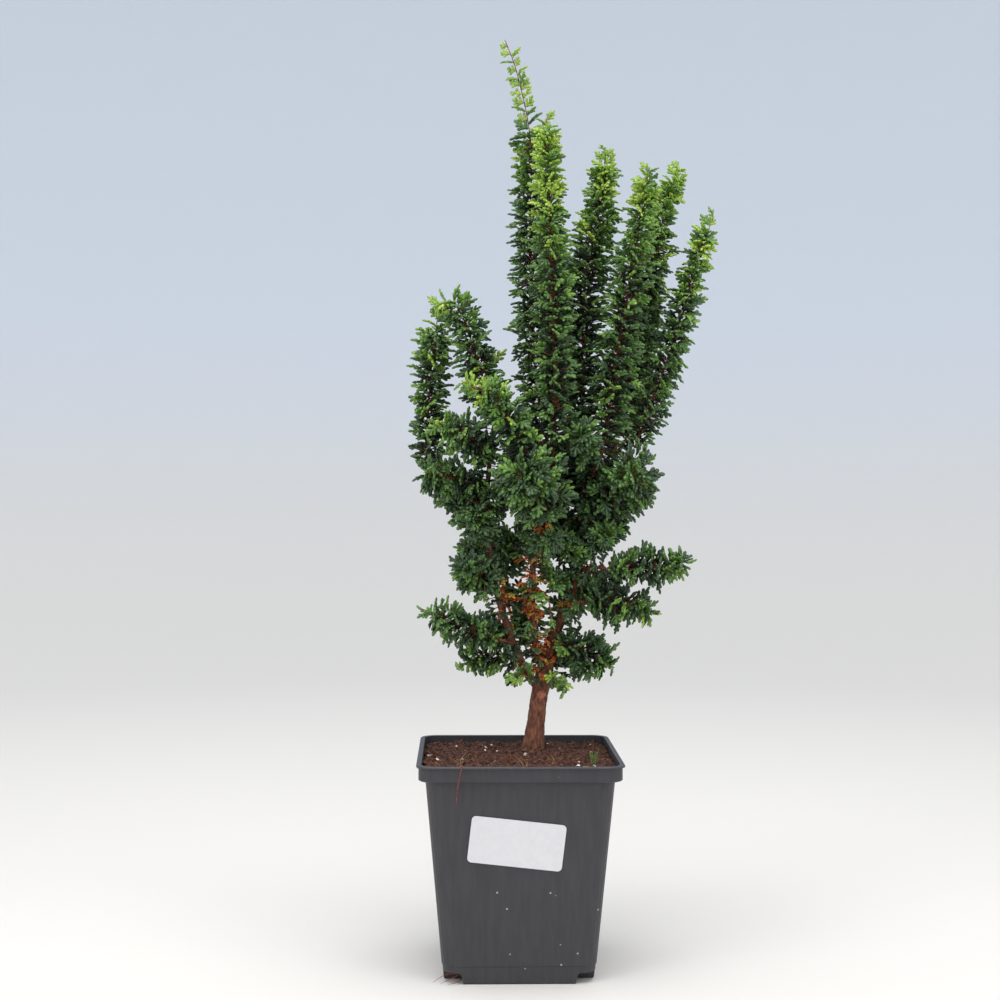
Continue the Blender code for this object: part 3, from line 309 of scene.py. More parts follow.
# %% Spines and reaches of the masses
Mass = namedtuple("Mass", "name host way_points foot_reach tip_reach core_share", defaults=(1.0,))
MASSES = [Mass(*row) for row in (
    ("leader_left", "middle_stem", ((14.2, -2, 290), (9, 1, 330), (6.3, 1.5, 400), (6, 0, 455),
     (-1.5, -1.5, 492), (-8.5, -2, 511)), 13, 9.5, 0.76),
    ("leader_front", "middle_stem", ((15.9, -8.5, 262), (19, -20, 300), (17, -19, 385), (14, -14, 465)),
     13.5, 10.5, 0.92),
    ("leader_middle", "trunk", ((35.8, 12.5, 290), (37.5, 12, 374), (46.5, 10.5, 425), (48.6, 10, 454)),
     14.5, 13.5, 0.86),
    ("leader_inner_right", "bough_inner_right_leader", ((46, -6, 284), (57.5, -10, 360), (67, -10, 415),
     (71, -10, 440)), 14, 12, 0.88),
    ("leader_rear_right", "bough_rear_right_leader", ((57, 22.5, 290), (74.5, 20, 380), (84, 17, 424),
     (91.1, 16, 446)), 13.5, 10, 0.86),
    ("leader_outer_right", "bough_outer_right_leader", ((64.5, 5, 284), (87, 4, 346), (99, 3, 390),
     (108.8, 2, 415.5)), 11.5, 10.5, 0.86),
    ("plume_outer_left", "bough_outer_left", ((-51, 10, 272), (-49.5, 12, 320), (-44.5, 10, 366)),
     13, 10.5, 0.84),
    ("plume_inner_left", "left_stem", ((-13.5, -6, 300), (-23, -6, 333), (-32, -5, 359),
     (-38.5, -3, 366.5), (-48.5, -2, 363)), 13.5, 10.5, 0.82),
    ("plume_front_left", "middle_stem", ((15.9, -8.5, 267), (-1, -25, 289), (-12, -32, 309),
     (-32, -36, 319.5)), 19, 7.5, 0.82),
    ("plume_low_left", "left_stem", ((-16.3, -3.5, 278), (-27, -19, 290), (-48, -22, 298)), 16, 10.5, 0.84),
    ("mass_left", "left_stem", ((-17.4, -2.5, 261), (-33, -9, 268), (-46, -9, 270)), 15, 12),
    ("mass_left_upper_dark", "left_stem", ((-17.2, -2.8, 236), (-22, -11, 243), (-22.5, -13, 247)),
     15.5, 15),
    ("mass_left_lower_dark", "left_stem", ((-14, -3.8, 210), (-20.5, -12, 214), (-25, -14, 217)), 16, 15),
    ("mass_front", "middle_stem", ((14.5, -8.7, 249), (10, -25, 262), (5, -31, 267)), 19, 21),
    ("mass_front_left", "left_stem", ((-17.4, -2.6, 252), (-8, -9, 258), (-4, -12, 266)), 15, 16),
    ("mass_front_low", "middle_stem", ((9.8, -7.2, 233), (13, -19, 234), (17, -24, 237)), 9, 8.5),
    ("mass_right", "trunk", ((37, 12.5, 250), (52, -4, 263), (59, -9, 268)), 18, 19.5),
    ("mass_right_low", "trunk", ((37, 12.5, 230), (46, 0, 235), (48, -3, 237)), 12.5, 14),
    ("mass_right_upper", "trunk", ((36.8, 12.5, 268), (36, -6, 283), (33, -18, 290)), 14, 14),
    ("tier_right", "bough_right_tier", ((47.5, -7, 219), (70, -10, 219), (94, -10, 223)), 13, 13.5, 0.9),
    ("tier_lower_right", "bough_lower_right", ((36.5, -1, 200), (54, -6, 202), (75, -8, 194)),
     17, 12.5, 0.87),
    ("tier_foot_right", "trunk", ((17.9, 9.8, 171.5), (32, 5, 174), (54, 8, 161)), 19, 12.5, 0.82),
    ("tier_lower_left", "bough_lower_left", ((-11, -10, 180), (-30, -14, 187), (-53, -14, 197)),
     13, 10.5, 0.84),
    ("tier_foot_left", "left_stem", ((1.2, 1.6, 168), (-16, -2, 171), (-33.5, 0, 164)), 13.5, 9, 0.8),
    ("spray_foot_left", "trunk", ((14, 8.5, 155.5), (4, -5, 160), (-6.5, -9, 160.5)), 9.5, 8, 0),
    ("spray_foot_right", "trunk", ((14.3, 8.6, 157), (19, -4, 158), (26.5, -8, 153)), 9.5, 8, 0),
    ("spray_hanging", "middle_stem", ((7.6, -3, 207), (15.6, -12, 203), (18.5, -14, 186)), 6.5, 5.5, 0),
    ("mass_middle_low", "trunk", ((32.6, 12.1, 211.5), (24, 2, 213), (19.5, -2.5, 213)), 11.5, 12.5),
    ("mass_between_stems", "middle_stem", ((7.6, -2.5, 207), (0, 4, 206), (-4.5, 6, 206)), 11, 11.5),
    ("mass_inner_left", "left_stem", ((-14.6, -3.9, 214), (-6, 9, 224), (-4, 11, 232)), 14, 13.5),
    ("mass_inner_right", "trunk", ((35, 12.4, 222), (27, 0, 229), (25, -4, 235)), 13, 13.5),
    ("mass_inner_low", "middle_stem", ((7.8, -1, 192), (6, 11, 188), (2, 13, 187)), 11, 11),
    ("leader_rear", "bough_rear_leader", ((26.8, 35, 306), (24, 38, 365), (19.1, 38, 424)), 13.5, 11, 0.84),
    ("leader_rear_far", "bough_rear_far_leader", ((64.5, 42, 292), (75, 44, 340), (82, 42, 388)),
     13.5, 10.5, 0.82),
    ("mass_rear_left", "left_stem", ((-17.4, -2.6, 245), (-30, 20, 259), (-36, 26, 263)), 14, 13),
    ("mass_rear_left_low", "left_stem", ((-14.6, -4, 213), (-19.5, 17, 221), (-21, 24, 226)), 14, 15),
    ("mass_rear_middle", "trunk", ((37, 12.5, 256), (40, 25, 262), (41, 31, 268)), 13, 14),
    ("mass_rear", "trunk", ((36.8, 12.5, 272), (20, 27, 277), (8, 32, 284)), 17, 18),
    ("mass_rear_low", "trunk", ((36.6, 12.5, 236), (24, 28, 239), (18, 33, 243)), 16, 17),
    ("mass_rear_right", "trunk", ((36.5, 12.5, 236), (54, 25, 251), (58, 29, 257)), 16, 16),
    ("tier_rear_right", "trunk", ((31.5, 12, 208), (45, 28, 208), (62, 36, 200)), 14, 10, 0.82),
    ("tier_rear_left", "left_stem", ((-4, -0.5, 181.5), (-20, 18, 182), (-33, 26, 177)), 11.5, 8.5, 0.78),
    ("tier_rear_foot", "trunk", ((16.5, 9.2, 166), (27, 24, 171), (39, 34, 166)), 12, 9, 0.78),
)]
print("limbs", len(LIMBS) + 1, "masses", len(MASSES))

# %% [markdown]
# ## Bark
# The bark is reddish brown and comes off in thin upright flakes, and the trunk flares at the peat.
# It could be a bump in the finish, but the trunk's edge against the light would then be smooth. So
# each limb is a curve with a round bevel, turned into a mesh whose points are pushed in and out by
# noise that is drawn out along the limb.

# %% Limbs with flaking bark
BARK_DEPTH = 0.46
BOUGH_DEPTH_SHARE = 0.7
BARK_GRAIN = (0.55, 0.55, 0.14)
BARK_SET_BACK = 0.1
FINE_RIDGES = (0.5, 2.7)
PLATES = (0.3, 1.9)
FLARE_LOBES = 5
FLARE_DEPTH = 0.7
FLARE_FULLNESS = 0.4
FLARE_HEIGHT = 7.0
FLARE_TOP = 35.0
TRUNK_SAMPLES = 220
LIMB_STEP = 0.8
LIMB_TAPER = 0.8


def limb_mesh(name, path, radii, sides_level):
    """A limb as a bevelled curve turned into a mesh."""
    curve = bpy.data.curves.new(name, "CURVE")
    curve.dimensions = "3D"
    curve.bevel_depth = 1.0
    curve.bevel_resolution = sides_level
    curve.use_fill_caps = True
    spline = curve.splines.new("POLY")
    spline.points.add(len(path) - 1)
    for point, place, radius in zip(spline.points, path, radii):
        point.co = (*place, 1.0)
        point.radius = radius
    work_on(add_object(name, curve))
    bpy.ops.object.convert(target="MESH")
    return bpy.context.view_layer.objects.active


def roughen(limb, axis, depth):
    """Pushes a limb's points in and out, in flakes that run along it, then scales it to metres."""
    for vertex in limb.data.vertices:
        nearest = axis[np.argmin(norm(axis - np.array(vertex.co), axis=1))]
        outward = vertex.co - Vector(nearest)
        flakes = Vector(part * grain for part, grain in zip(vertex.co, BARK_GRAIN))
        ridge = (noise.noise(flakes) + FINE_RIDGES[0] * noise.noise(flakes * FINE_RIDGES[1])
                 + PLATES[0] * noise.cell(flakes * PLATES[1]))
        push = depth * (ridge - BARK_SET_BACK)
        above = vertex.co.z - TRUNK_PATH[0][2]
        if limb.name == "trunk_bark" and above < FLARE_TOP:
            turn = math.atan2(outward.y, outward.x)
            flare = FLARE_FULLNESS + math.cos(FLARE_LOBES * turn)
            push += FLARE_DEPTH * flare * math.exp(-max(above, 0.0) / FLARE_HEIGHT)
        vertex.co += outward.normalized() * push
    limb.data.transform(Matrix.Scale(MM, 4))


bark_finish = mottled("bark", (56, 28, 22), (146, 92, 66), 800.0, 0.85, 1.0, (1.0, 1.0, 0.3))
trunk_line = smooth_path(TRUNK_PATH, TRUNK_SAMPLES)
LIMB_NAMES = ["trunk"] + [limb.name for limb in LIMBS]
LIMB_AXES = [(trunk_line[:, :3], trunk_line[:, 3])]
for limb in LIMBS:
    axis = smooth_path(limb.way_points, round(path_length(np.array(limb.way_points)) / LIMB_STEP))
    thinning = (limb.tip_radius - limb.foot_radius) * np.linspace(0, 1, len(axis)) ** LIMB_TAPER
    LIMB_AXES.append((axis, limb.foot_radius + thinning))
for name, (axis, radii) in zip(LIMB_NAMES, LIMB_AXES):
    piece = limb_mesh(name + "_bark", axis, radii, 10 if name == "trunk" else 4)
    roughen(piece, axis, BARK_DEPTH * (1.0 if name == "trunk" else BOUGH_DEPTH_SHARE))
    coat(piece, bark_finish)
    seat(piece, "bark", name)
print("limbs in bark", len(LIMB_AXES))

# %% [markdown]
# ## The pruning scar
# A side shoot was cut off low on the trunk, and the bark has healed round the cut in a pale red
# ring. It could be painted on, but it stands proud of the bark, so it is a small torus over a disc.

# %% Model the pruning scar
SCAR_PLACE = Vector((13.4, 3.5, 148.0))
SCAR_RADIUS = 1.9
SCAR_THICKNESS = 0.6
SCAR_FLATNESS = 0.25
scar_finish = mottled("pruning_scar", (138, 66, 50), (196, 128, 104), 900.0, 0.8, 0.5)
bpy.ops.mesh.primitive_torus_add(major_radius=SCAR_RADIUS, minor_radius=SCAR_THICKNESS,
                                 major_segments=24, minor_segments=8)
scar = bpy.context.active_object
scar.name = "pruning_scar"
bpy.ops.object.mode_set(mode="EDIT")
bpy.ops.mesh.primitive_uv_sphere_add(segments=16, ring_count=8, radius=SCAR_RADIUS,
                                     scale=(1.0, 1.0, SCAR_FLATNESS))
bpy.ops.object.mode_set(mode="OBJECT")
upright = Matrix.Rotation(math.pi / 2, 4, "X")
scar.data.transform(Matrix.Scale(MM, 4) @ Matrix.Translation(SCAR_PLACE) @ upright)
coat(scar, scar_finish)
seat(scar, "bark", "trunk")
print("scar", len(scar.data.polygons), "faces")

# %% [markdown]
# ## One shoot
# Hinoki foliage is made of short flat shoots, two millimetres wide, covered in blunt overlapping
# scales, so each has a knobbly outline. The shoot is modelled once by hand: a four-sided ring is
# extruded and resized four times. Thousands of copies follow, so it has only a few dozen faces.

# %% Model one shoot
SHOOT_LENGTH = 5.0
SHOOT_HALF_WIDTH = 1.16
SHOOT_HALF_THICKNESS = 0.86
SHOOT_RINGS = ((0.0, 0.5), (0.24, 1.0), (0.5, 0.8), (0.82, 1.02), (1.0, 0.4))

bpy.ops.mesh.primitive_circle_add(vertices=4, radius=SHOOT_RINGS[0][1], fill_type="NGON")
shoot = bpy.context.active_object
bpy.ops.object.mode_set(mode="EDIT")
bpy.ops.mesh.select_all(action="SELECT")
for (low, narrow), (high, wide) in zip(SHOOT_RINGS, SHOOT_RINGS[1:]):
    bpy.ops.mesh.extrude_region_move(TRANSFORM_OT_translate={"value": (0, 0, high - low)})
    size = wide / narrow
    bpy.ops.transform.resize(value=(size, size, 1.0), center_override=(0, 0, high))
bpy.ops.mesh.select_all(action="SELECT")
bpy.ops.mesh.normals_make_consistent()
bpy.ops.mesh.quads_convert_to_tris()
bpy.ops.object.mode_set(mode="OBJECT")
shoot_points = np.array([vertex.co for vertex in shoot.data.vertices])
shoot_faces = np.array([face.vertices for face in shoot.data.polygons])
shoot_points = shoot_points[:, [0, 2, 1]] * (1.0, 1.0, -1.0)
bpy.data.objects.remove(shoot)
print("one shoot has", len(shoot_faces), "triangles")

# %% [markdown]
# ## Sprays of shoots
# The shoots stand in small flat fans, like the fingers of a hand, whose tips curve down. Each row
# says where a shoot starts, its angle and its length. One fan could serve for all, but three kinds
# keep the crown from looking stamped, and a sparer fourth fills the shaded layer.

# %% Lay out the fans
FAN_LENGTH = 10.0
FAN_DROOP = 0.024
FAN_CUP = 0.02
SHOOT_TILT = 0.06
SHOOT_WIDTHS = (0.85, 0.15)
FANS = (
    ((0, 0, 1.1), (4.4, 0, 1.15), (1.4, 54, 1), (2, -52, 1), (4.2, 46, 0.85), (4.9, -44, 0.8)),
    ((0, 5, 1.15), (4.6, -5, 1), (1.6, -58, 0.95), (2.2, 50, 1), (4.8, -40, 0.75)),
    ((0, -4, 1.1), (4.2, 4, 1.2), (1.2, 48, 1), (1.9, -48, 1.05), (4.5, -40, 0.8), (5.2, 38, 0.65)),
    ((0, 0, 1.9), (1.4, 46, 1.35), (2.2, -44, 1.35)),
)
FULL_FANS = 3
SPARE_FAN = 3


def lay_fan(shoots):
    """Points and faces of a fan along +Y with its face toward +Z, in millimetres."""
    points, faces = [], []
    for count, (start, angle, size) in enumerate(shoots):
        turn = math.radians(angle)
        length = SHOOT_LENGTH * size
        width = SHOOT_HALF_WIDTH * (SHOOT_WIDTHS[0] + SHOOT_WIDTHS[1] * size)
        local = shoot_points * (width, length, SHOOT_HALF_THICKNESS)
        tilt = SHOOT_TILT * (-1) ** count
        laid = np.column_stack([local[:, 0] * math.cos(turn) + local[:, 1] * math.sin(turn),
                                start + local[:, 1] * math.cos(turn) - local[:, 0] * math.sin(turn),
                                local[:, 2] + tilt * local[:, 1]])
        laid[:, 2] -= FAN_DROOP * laid[:, 1] ** 2 + FAN_CUP * laid[:, 0] ** 2
        faces.append(shoot_faces + len(shoot_points) * count)
        points.append(laid)
    return np.vstack(points), np.vstack(faces)


fans = [lay_fan(shoots) for shoots in FANS]
print("triangles in each fan", [len(faces) for points, faces in fans])

# %% [markdown]
# ## Where each spray stands
# Sprays are set round each spine by the golden angle, leaning out and up it, and over its end. A
# spray that would leave its mass's own space or touch a limb is skipped. Inside a dense mass a
# second, shaded layer closes the view, as the old growth does; its sprays are painted shade, near-black
# green on the lower part of the spine and mid green above. Past the dense part of a plume the
# sprays stand in turn to the left and right of the shoot, with sky between them.

# %% Rules of reach and space
GOLDEN_TURN = math.radians(137.508)
FOOT_FULLNESS = 0.5
FOOT_SWELL = 1.5
TIP_BLUNTNESS = 2.5
TIP_TAPER = 1.6
TIP_POWER = 0.7
LIMB_CLEARANCE = 0.8
SPINE_SAMPLES = 24
BOX_MARGIN = 0.6
BOX_LOW = np.array(cad_low) / MM + BOX_MARGIN
BOX_HIGH = np.array(cad_high) / MM - BOX_MARGIN

ALL_SPINES = np.array([smooth_path(mass.way_points, SPINE_SAMPLES) for mass in MASSES])
ALL_REACHES = np.array([np.linspace(mass.foot_reach, mass.tip_reach, SPINE_SAMPLES) for mass in MASSES])
LIMB_POINTS = np.vstack([axis for axis, radii in LIMB_AXES])
LIMB_RADII = np.concatenate([radii for axis, radii in LIMB_AXES])


def is_plume(mass):
    """Whether a mass narrows to a point."""
    return not mass.name.startswith("mass")


def shares_at(point):
    """How far a point is from each mass's spine, as a share of that mass's reach."""
    return (norm(ALL_SPINES - point, axis=2) / ALL_REACHES).min(axis=1)


def own_space(number, point):
    """Whether a point is nearer, for its reach, to this mass's spine than to any other's."""
    shares = shares_at(point)
    return shares[number] <= shares.min() + 1e-6


def touches_limb(*points):
    """Whether any of the points lies in a limb or just off its bark."""
    return any((norm(LIMB_POINTS - point, axis=1) < LIMB_RADII + LIMB_CLEARANCE).any()
               for point in points)


def reach_at(mass, along, length):
    """How far foliage reaches from its spine at a distance along it."""
    reach = mass.foot_reach + (mass.tip_reach - mass.foot_reach) * min(along / length, 1.0)
    reach *= min(1.0, FOOT_FULLNESS + along / (FOOT_SWELL * mass.foot_reach))
    if is_plume(mass):
        reach *= min(1.0, (length - along + TIP_BLUNTNESS) / (TIP_TAPER * mass.tip_reach)) ** TIP_POWER
    return reach


# %% [markdown]
# ## The colour of each spray
# The newest tips are yellow-green, the sides of the leaders a fresh green, the older foliage low
# down is a dark blue-green, and what the light never reaches has turned orange or straw yellow.
# The shade tone is painted shade: a near-black green for sprays deep inside the crown.
# The colours are dealt out spray by spray, by how far up its mass a spray stands, with chance. A
# mass takes the first deal that its name begins like and whose least share the spray is past, and
# the deal gives the chance of each tone, in the order of the list of tones.

# %% Deal out the tones
TONES = {
    "fresh": ("foliage_pale", (132, 172, 58), (178, 204, 84)),
    "bright": ("foliage_green", (90, 132, 50), (132, 170, 74)),
    "mid": ("foliage_green", (64, 98, 44), (102, 138, 66)),
    "deep": ("foliage_dark", (46, 72, 42), (76, 104, 60)),
    # painted shade: near-black green for sprays deep inside the crown
    "shade": ("foliage_dark", (28, 42, 24), (46, 64, 38)),
    "orange": ("foliage_pale", (150, 66, 26), (206, 112, 48)),
    "straw": ("foliage_pale", (166, 124, 40), (214, 172, 76)),
}
DEALS = (
    ("leader_front", 0.72, (0.72, 0.24, 0.04)),
    ("leader", 0.82, (0.6, 0.34, 0.06)),
    ("leader", 0.62, (0.1, 0.5, 0.4)),
    ("leader", 0.3, (0, 0.2, 0.6, 0.2)),
    ("leader", 0, (0, 0.14, 0.58, 0.28)),
    ("plume", 0.78, (0.5, 0.4, 0.1)),
    ("plume", 0.3, (0.03, 0.27, 0.5, 0.2)),
    ("plume", 0, (0, 0.1, 0.4, 0.5)),
    ("tier", 0.7, (0.08, 0.4, 0.37, 0.15)),
    ("tier", 0, (0, 0.12, 0.4, 0.48)),
    ("spray_hanging", 0, (0.3, 0.6, 0.1)),
    ("spray", 0, (0.08, 0.42, 0.3, 0.12, 0, 0, 0.08)),
    ("", 0, (0, 0.07, 0.36, 0.57)),
)


def deal_tone(mass, share, chance):
    """The tone of a spray at a share of its mass's spine."""
    deal = next(deal for start, least, deal in DEALS if mass.name.startswith(start) and share >= least)
    pick = chance.random()
    for tone, part in zip(TONES, deal):
        pick -= part
        if pick <= 0:
            break
    return tone


# %% Stand a spray on its point
placed = {tone: [] for tone in TONES}
mass_of_tone = {tone: set() for tone in TONES}
twigs = []


def outward_at(cross_frame, angle):
    """Direction away from a path, at an angle round it."""
    along, across, up = cross_frame
    return across * math.cos(angle) + up * math.sin(angle)


def nearest_index(share, path):
    """Number of the path's point at a share of its length."""
    return min(round(share * (len(path) - 1)), len(path) - 1)


def sagging(heading, sag, chance):
    """The heading, turned down or up by a chance amount between the two of sag."""
    return unit(heading + np.array((0, 0, chance.uniform(*sag))))


def stand(tone, mass_number, root, heading, side, size, kind):
    """Notes where one fan stands, which way it faces, and which mass it belongs to."""
    side = unit(side - heading * (side @ heading))
    turn = np.column_stack([side, heading, np.cross(side, heading)])
    placed[tone].append((root, turn, size, kind))
    mass_of_tone[tone].add(MASSES[mass_number].name)


def set_spray(number, tone, root, heading, side, size, kind):
    """Stands one fan, unless its tip leaves the box or its own space, or it touches a limb."""
    tip = root + heading * FAN_LENGTH * size
    if (tip < BOX_LOW).any() or (tip > BOX_HIGH).any():
        return False
    if not own_space(number, tip) or touches_limb(tip, (root + tip) / 2):
        return False
    stand(tone, number, root, heading, side, size, kind)
    return True


# %% Sprays round the dense part of a spine
SPRAY_LEAN = 26.0
LEAN_SPREAD = 16.0
ANGLE_SPREAD = 0.25
SAG = (-0.42, 0.12)
REACH_SPREAD = (0.9, 1.12)
LEADER_SIZE = 0.92
LEADER_POINT = 0.42
LEADER_TAPER = 95.0
SHADE_SIZE = 1.25
SHADE_SHARE = 0.62
LUMPINESS = 0.32
LUMP_SIZE = 8.0
FIRST_SHARE = 0.02
LEAST_STAND = 0.4
SPRAY_TWIG = (1.2, 0.34)
ANY_TURN = 6.28


def dense_sprays(number, path, frames, length, chance, spacing, depth, shaded):
    """Sprays round the dense part of a spine and, on a dome, over its end."""
    mass = MASSES[number]
    leader = mass.name.startswith("leader")
    dense = length * (mass.core_share if is_plume(mass) else 1.0)
    if leader and mass.name != "leader_left":
        dense = length * (mass.core_share + 1.0) / 2
    side_area = math.pi * (mass.foot_reach + mass.tip_reach) * dense
    end_area = 0.0 if is_plume(mass) else 2 * math.pi * mass.tip_reach ** 2
    count = round((side_area + end_area) / spacing ** 2)
    side_share = side_area / (side_area + end_area)
    turn_start = chance.uniform(0, ANY_TURN)
    for step in range(count):
        share = (step + 0.5) / count
        distance = min(dense * (FIRST_SHARE + (1 - FIRST_SHARE) * share / side_share), dense)
        rise = 0.0
        if end_area:
            rise = math.asin(min(max((share - side_share) / (1 - side_share), 0.0), 1.0))
        lean = max(math.radians(SPRAY_LEAN + chance.uniform(-LEAN_SPREAD, LEAN_SPREAD)), rise)
        index = nearest_index(distance / length, path)
        along = frames[index][0]
        angle = turn_start + step * GOLDEN_TURN + chance.uniform(-ANGLE_SPREAD, ANGLE_SPREAD)
        outward = outward_at(frames[index], angle)
        heading = sagging(outward * math.cos(lean) + along * math.sin(lean), SAG, chance)
        reach = reach_at(mass, distance, length) * depth * chance.uniform(*REACH_SPREAD)
        reach *= 1.0 + LUMPINESS * noise.noise(Vector(path[index] + outward * LUMP_SIZE) / LUMP_SIZE)
        size = chance.uniform(0.76, 1.1) * (SHADE_SIZE if shaded else 1.0)
        if leader:
            reach *= min(1.0, LEADER_POINT + (length - distance) / LEADER_TAPER)
            size *= LEADER_SIZE
        if shaded:
            size = min(size, reach / FAN_LENGTH)
        root = path[index] + outward * max(reach - FAN_LENGTH * size * math.cos(lean), LEAST_STAND)
        if rise > 0:
            root = path[index] + heading * max(reach - FAN_LENGTH * size, LEAST_STAND)
        roll = chance.uniform(-1.3, 1.3)
        side = np.cross(outward, along) * math.cos(roll) + along * math.sin(roll)
        tone = deal_tone(mass, distance / length, chance)
        # The shaded layer is painted shade: near-black sprays below SHADE_SHARE of the spine, mid green
        # above it.
        if shaded:
            tone = "shade" if distance < length * SHADE_SHARE else "mid"
        kind = SPARE_FAN if shaded else chance.randrange(FULL_FANS)
        if set_spray(number, tone, root, heading, side, size, kind):
            twigs.append((path[max(index - 2, 0)], root + heading * SPRAY_TWIG[0], SPRAY_TWIG[1]))


# %% Sprays at a plume's free tip
OPEN_SPACING = 2.3
OPEN_ANGLE = 0.75
OPEN_TAPER = 0.35
LOOSE_SIZE = 1.35
FACE_ON_SHARE = 0.4
END_SIZE = 0.62


def open_sprays(number, path, frames, length, chance):
    """Sprays that stand in turn on both sides of a plume's free tip, and one at its end."""
    mass = MASSES[number]
    start = length * mass.core_share
    count = max(3, round((length - start) / OPEN_SPACING))
    base_angle = chance.uniform(-0.5, 0.5)
    for step in range(count):
        distance = start + (length - start) * (step + 0.3) / count
        index = nearest_index(distance / length, path)
        along = frames[index][0]
        angle = base_angle + math.pi * step + chance.uniform(-OPEN_ANGLE, OPEN_ANGLE)
        outward = outward_at(frames[index], angle)
        lean = math.radians(chance.uniform(28, 50))
        heading = unit(outward * math.cos(lean) + along * math.sin(lean))
        size = chance.uniform(0.78, 1.0) * (1.0 - OPEN_TAPER * step / count)
        size *= LOOSE_SIZE if mass.core_share == 0 else 1.0
        side = np.cross(outward, along) if chance.random() < FACE_ON_SHARE else along
        tone = deal_tone(mass, distance / length, chance)
        kind = chance.randrange(FULL_FANS)
        set_spray(number, tone, path[index] + outward * 0.5, heading, side, size, kind)
    along, across, _ = frames[-1]
    end_root = path[-1] - along * FAN_LENGTH * END_SIZE
    set_spray(number, deal_tone(mass, 1.0, chance), end_root, along, across, END_SIZE, 0)


# %% Grow every mass
MASS_SEED = 20
HOST_SAMPLES = 160
PATH_STEP = 1.2
OUTER_LAYER = (6.7, 1.0, False)
SHADED_LAYER = (8.8, 0.62, True)
SPINE_TWIG_FOOT = 0.75
SPINE_TWIG_TAPER = 0.4


def leave_host(path, host):
    """Cuts off the path's first part, up to where it comes out of its host's bark."""
    axis, radii = LIMB_AXES[LIMB_NAMES.index(host)]
    within = [(norm(axis - point, axis=1) < radii).any() for point in path]
    first = max((index + 1 for index, hidden in enumerate(within) if hidden), default=0)
    return path[first:]


for number, mass in enumerate(MASSES):
    chance = random.Random(MASS_SEED + number)
    line = leave_host(smooth_path(mass.way_points, HOST_SAMPLES), mass.host)
    length = path_length(line)
    path = resample(line, max(12, round(length / PATH_STEP)))
    frames = frames_along(path)
    if mass.core_share > 0:
        dense_sprays(number, path, frames, length, chance, *OUTER_LAYER)
        dense_sprays(number, path, frames, length, chance, *SHADED_LAYER)
    if is_plume(mass):
        open_sprays(number, path, frames, length, chance)
    for start, end in zip(path[::4], path[4::4]):
        grown = path_length(np.array([path[0], end]))
        twigs.append((start, end, SPINE_TWIG_FOOT - SPINE_TWIG_TAPER * grown / length))
print("sprays of the masses", sum(len(rows) for rows in placed.values()))

# %% [markdown]
# ## Sprays on the stems themselves
# Short sprays also sprout from the stems and boughs between the masses, so most of the wood is
# seen only through small windows. Deep in the crown many of these have died back and turned
# orange or straw yellow. They could be masses of their own, but they belong to the wood, so they
# follow each limb by the golden angle and count with the mass they stand nearest.

# %% Grow the dead clusters
DEAD_FOLIAGE = ((15, -9, 244, 9), (9, -6, 226, 7), (8, -5, 212, 9),
                (7.6, -3, 200, 8), (-0.5, -3, 198, 7), (-11, -5, 208, 8),
                (21, 5, 204, 8), (18, 4, 173, 9), (12, 3, 163, 7),
                (8, 1, 180, 8))
DEAD_COUNT = 20
DEAD_SCATTER = 0.45
DEAD_OUTWARD = ((-1, 1), (-1.5, 0.5), (-0.4, 0.3))
DEAD_SAG = (-0.9, 0.6)
DEAD_STAND = 0.6
DEAD_TONES = ("orange", "orange", "straw")

chance = random.Random(MASS_SEED * 2)
for *heart, width in DEAD_FOLIAGE:
    for _ in range(DEAD_COUNT):
        stray = np.array([chance.gauss(0, DEAD_SCATTER) * width for _ in range(3)])
        nearest = int(np.argmin(norm(LIMB_POINTS - heart + stray, axis=1)))
        outward = unit(np.array([chance.uniform(*limits) for limits in DEAD_OUTWARD]))
        heading = sagging(outward, DEAD_SAG, chance)
        root = LIMB_POINTS[nearest] + outward * (LIMB_RADII[nearest] + DEAD_STAND)
        size = chance.uniform(0.32, 0.62)
        tone = chance.choice(DEAD_TONES)
        side = unit(np.cross(outward, (0, 0, 1.0)))
        stand(tone, int(np.argmin(shares_at(root))), root, heading, side, size, chance.randrange(FULL_FANS))
print("dead sprays", len(DEAD_FOLIAGE) * DEAD_COUNT)

# %% Grow the stem sprays
STEM_FOOT = 158.0
STEM_GAP = 1.15
STEM_MOST_SHARE = 1.6
STEM_ANGLE = 0.4
STEM_LEAN = (-0.2, 0.6)
STEM_SAG = (-0.6, 0.1)
STEM_STAND = (0.3, 3.5)
STEM_ROLL = 0.8
# One living stem spray in four takes the shade tone, painted shade deep in the crown.
STEM_TONES = ("deep", "deep", "shade", "mid")
DIED_SHARE = 0.35
DIED_SIZE = 0.75

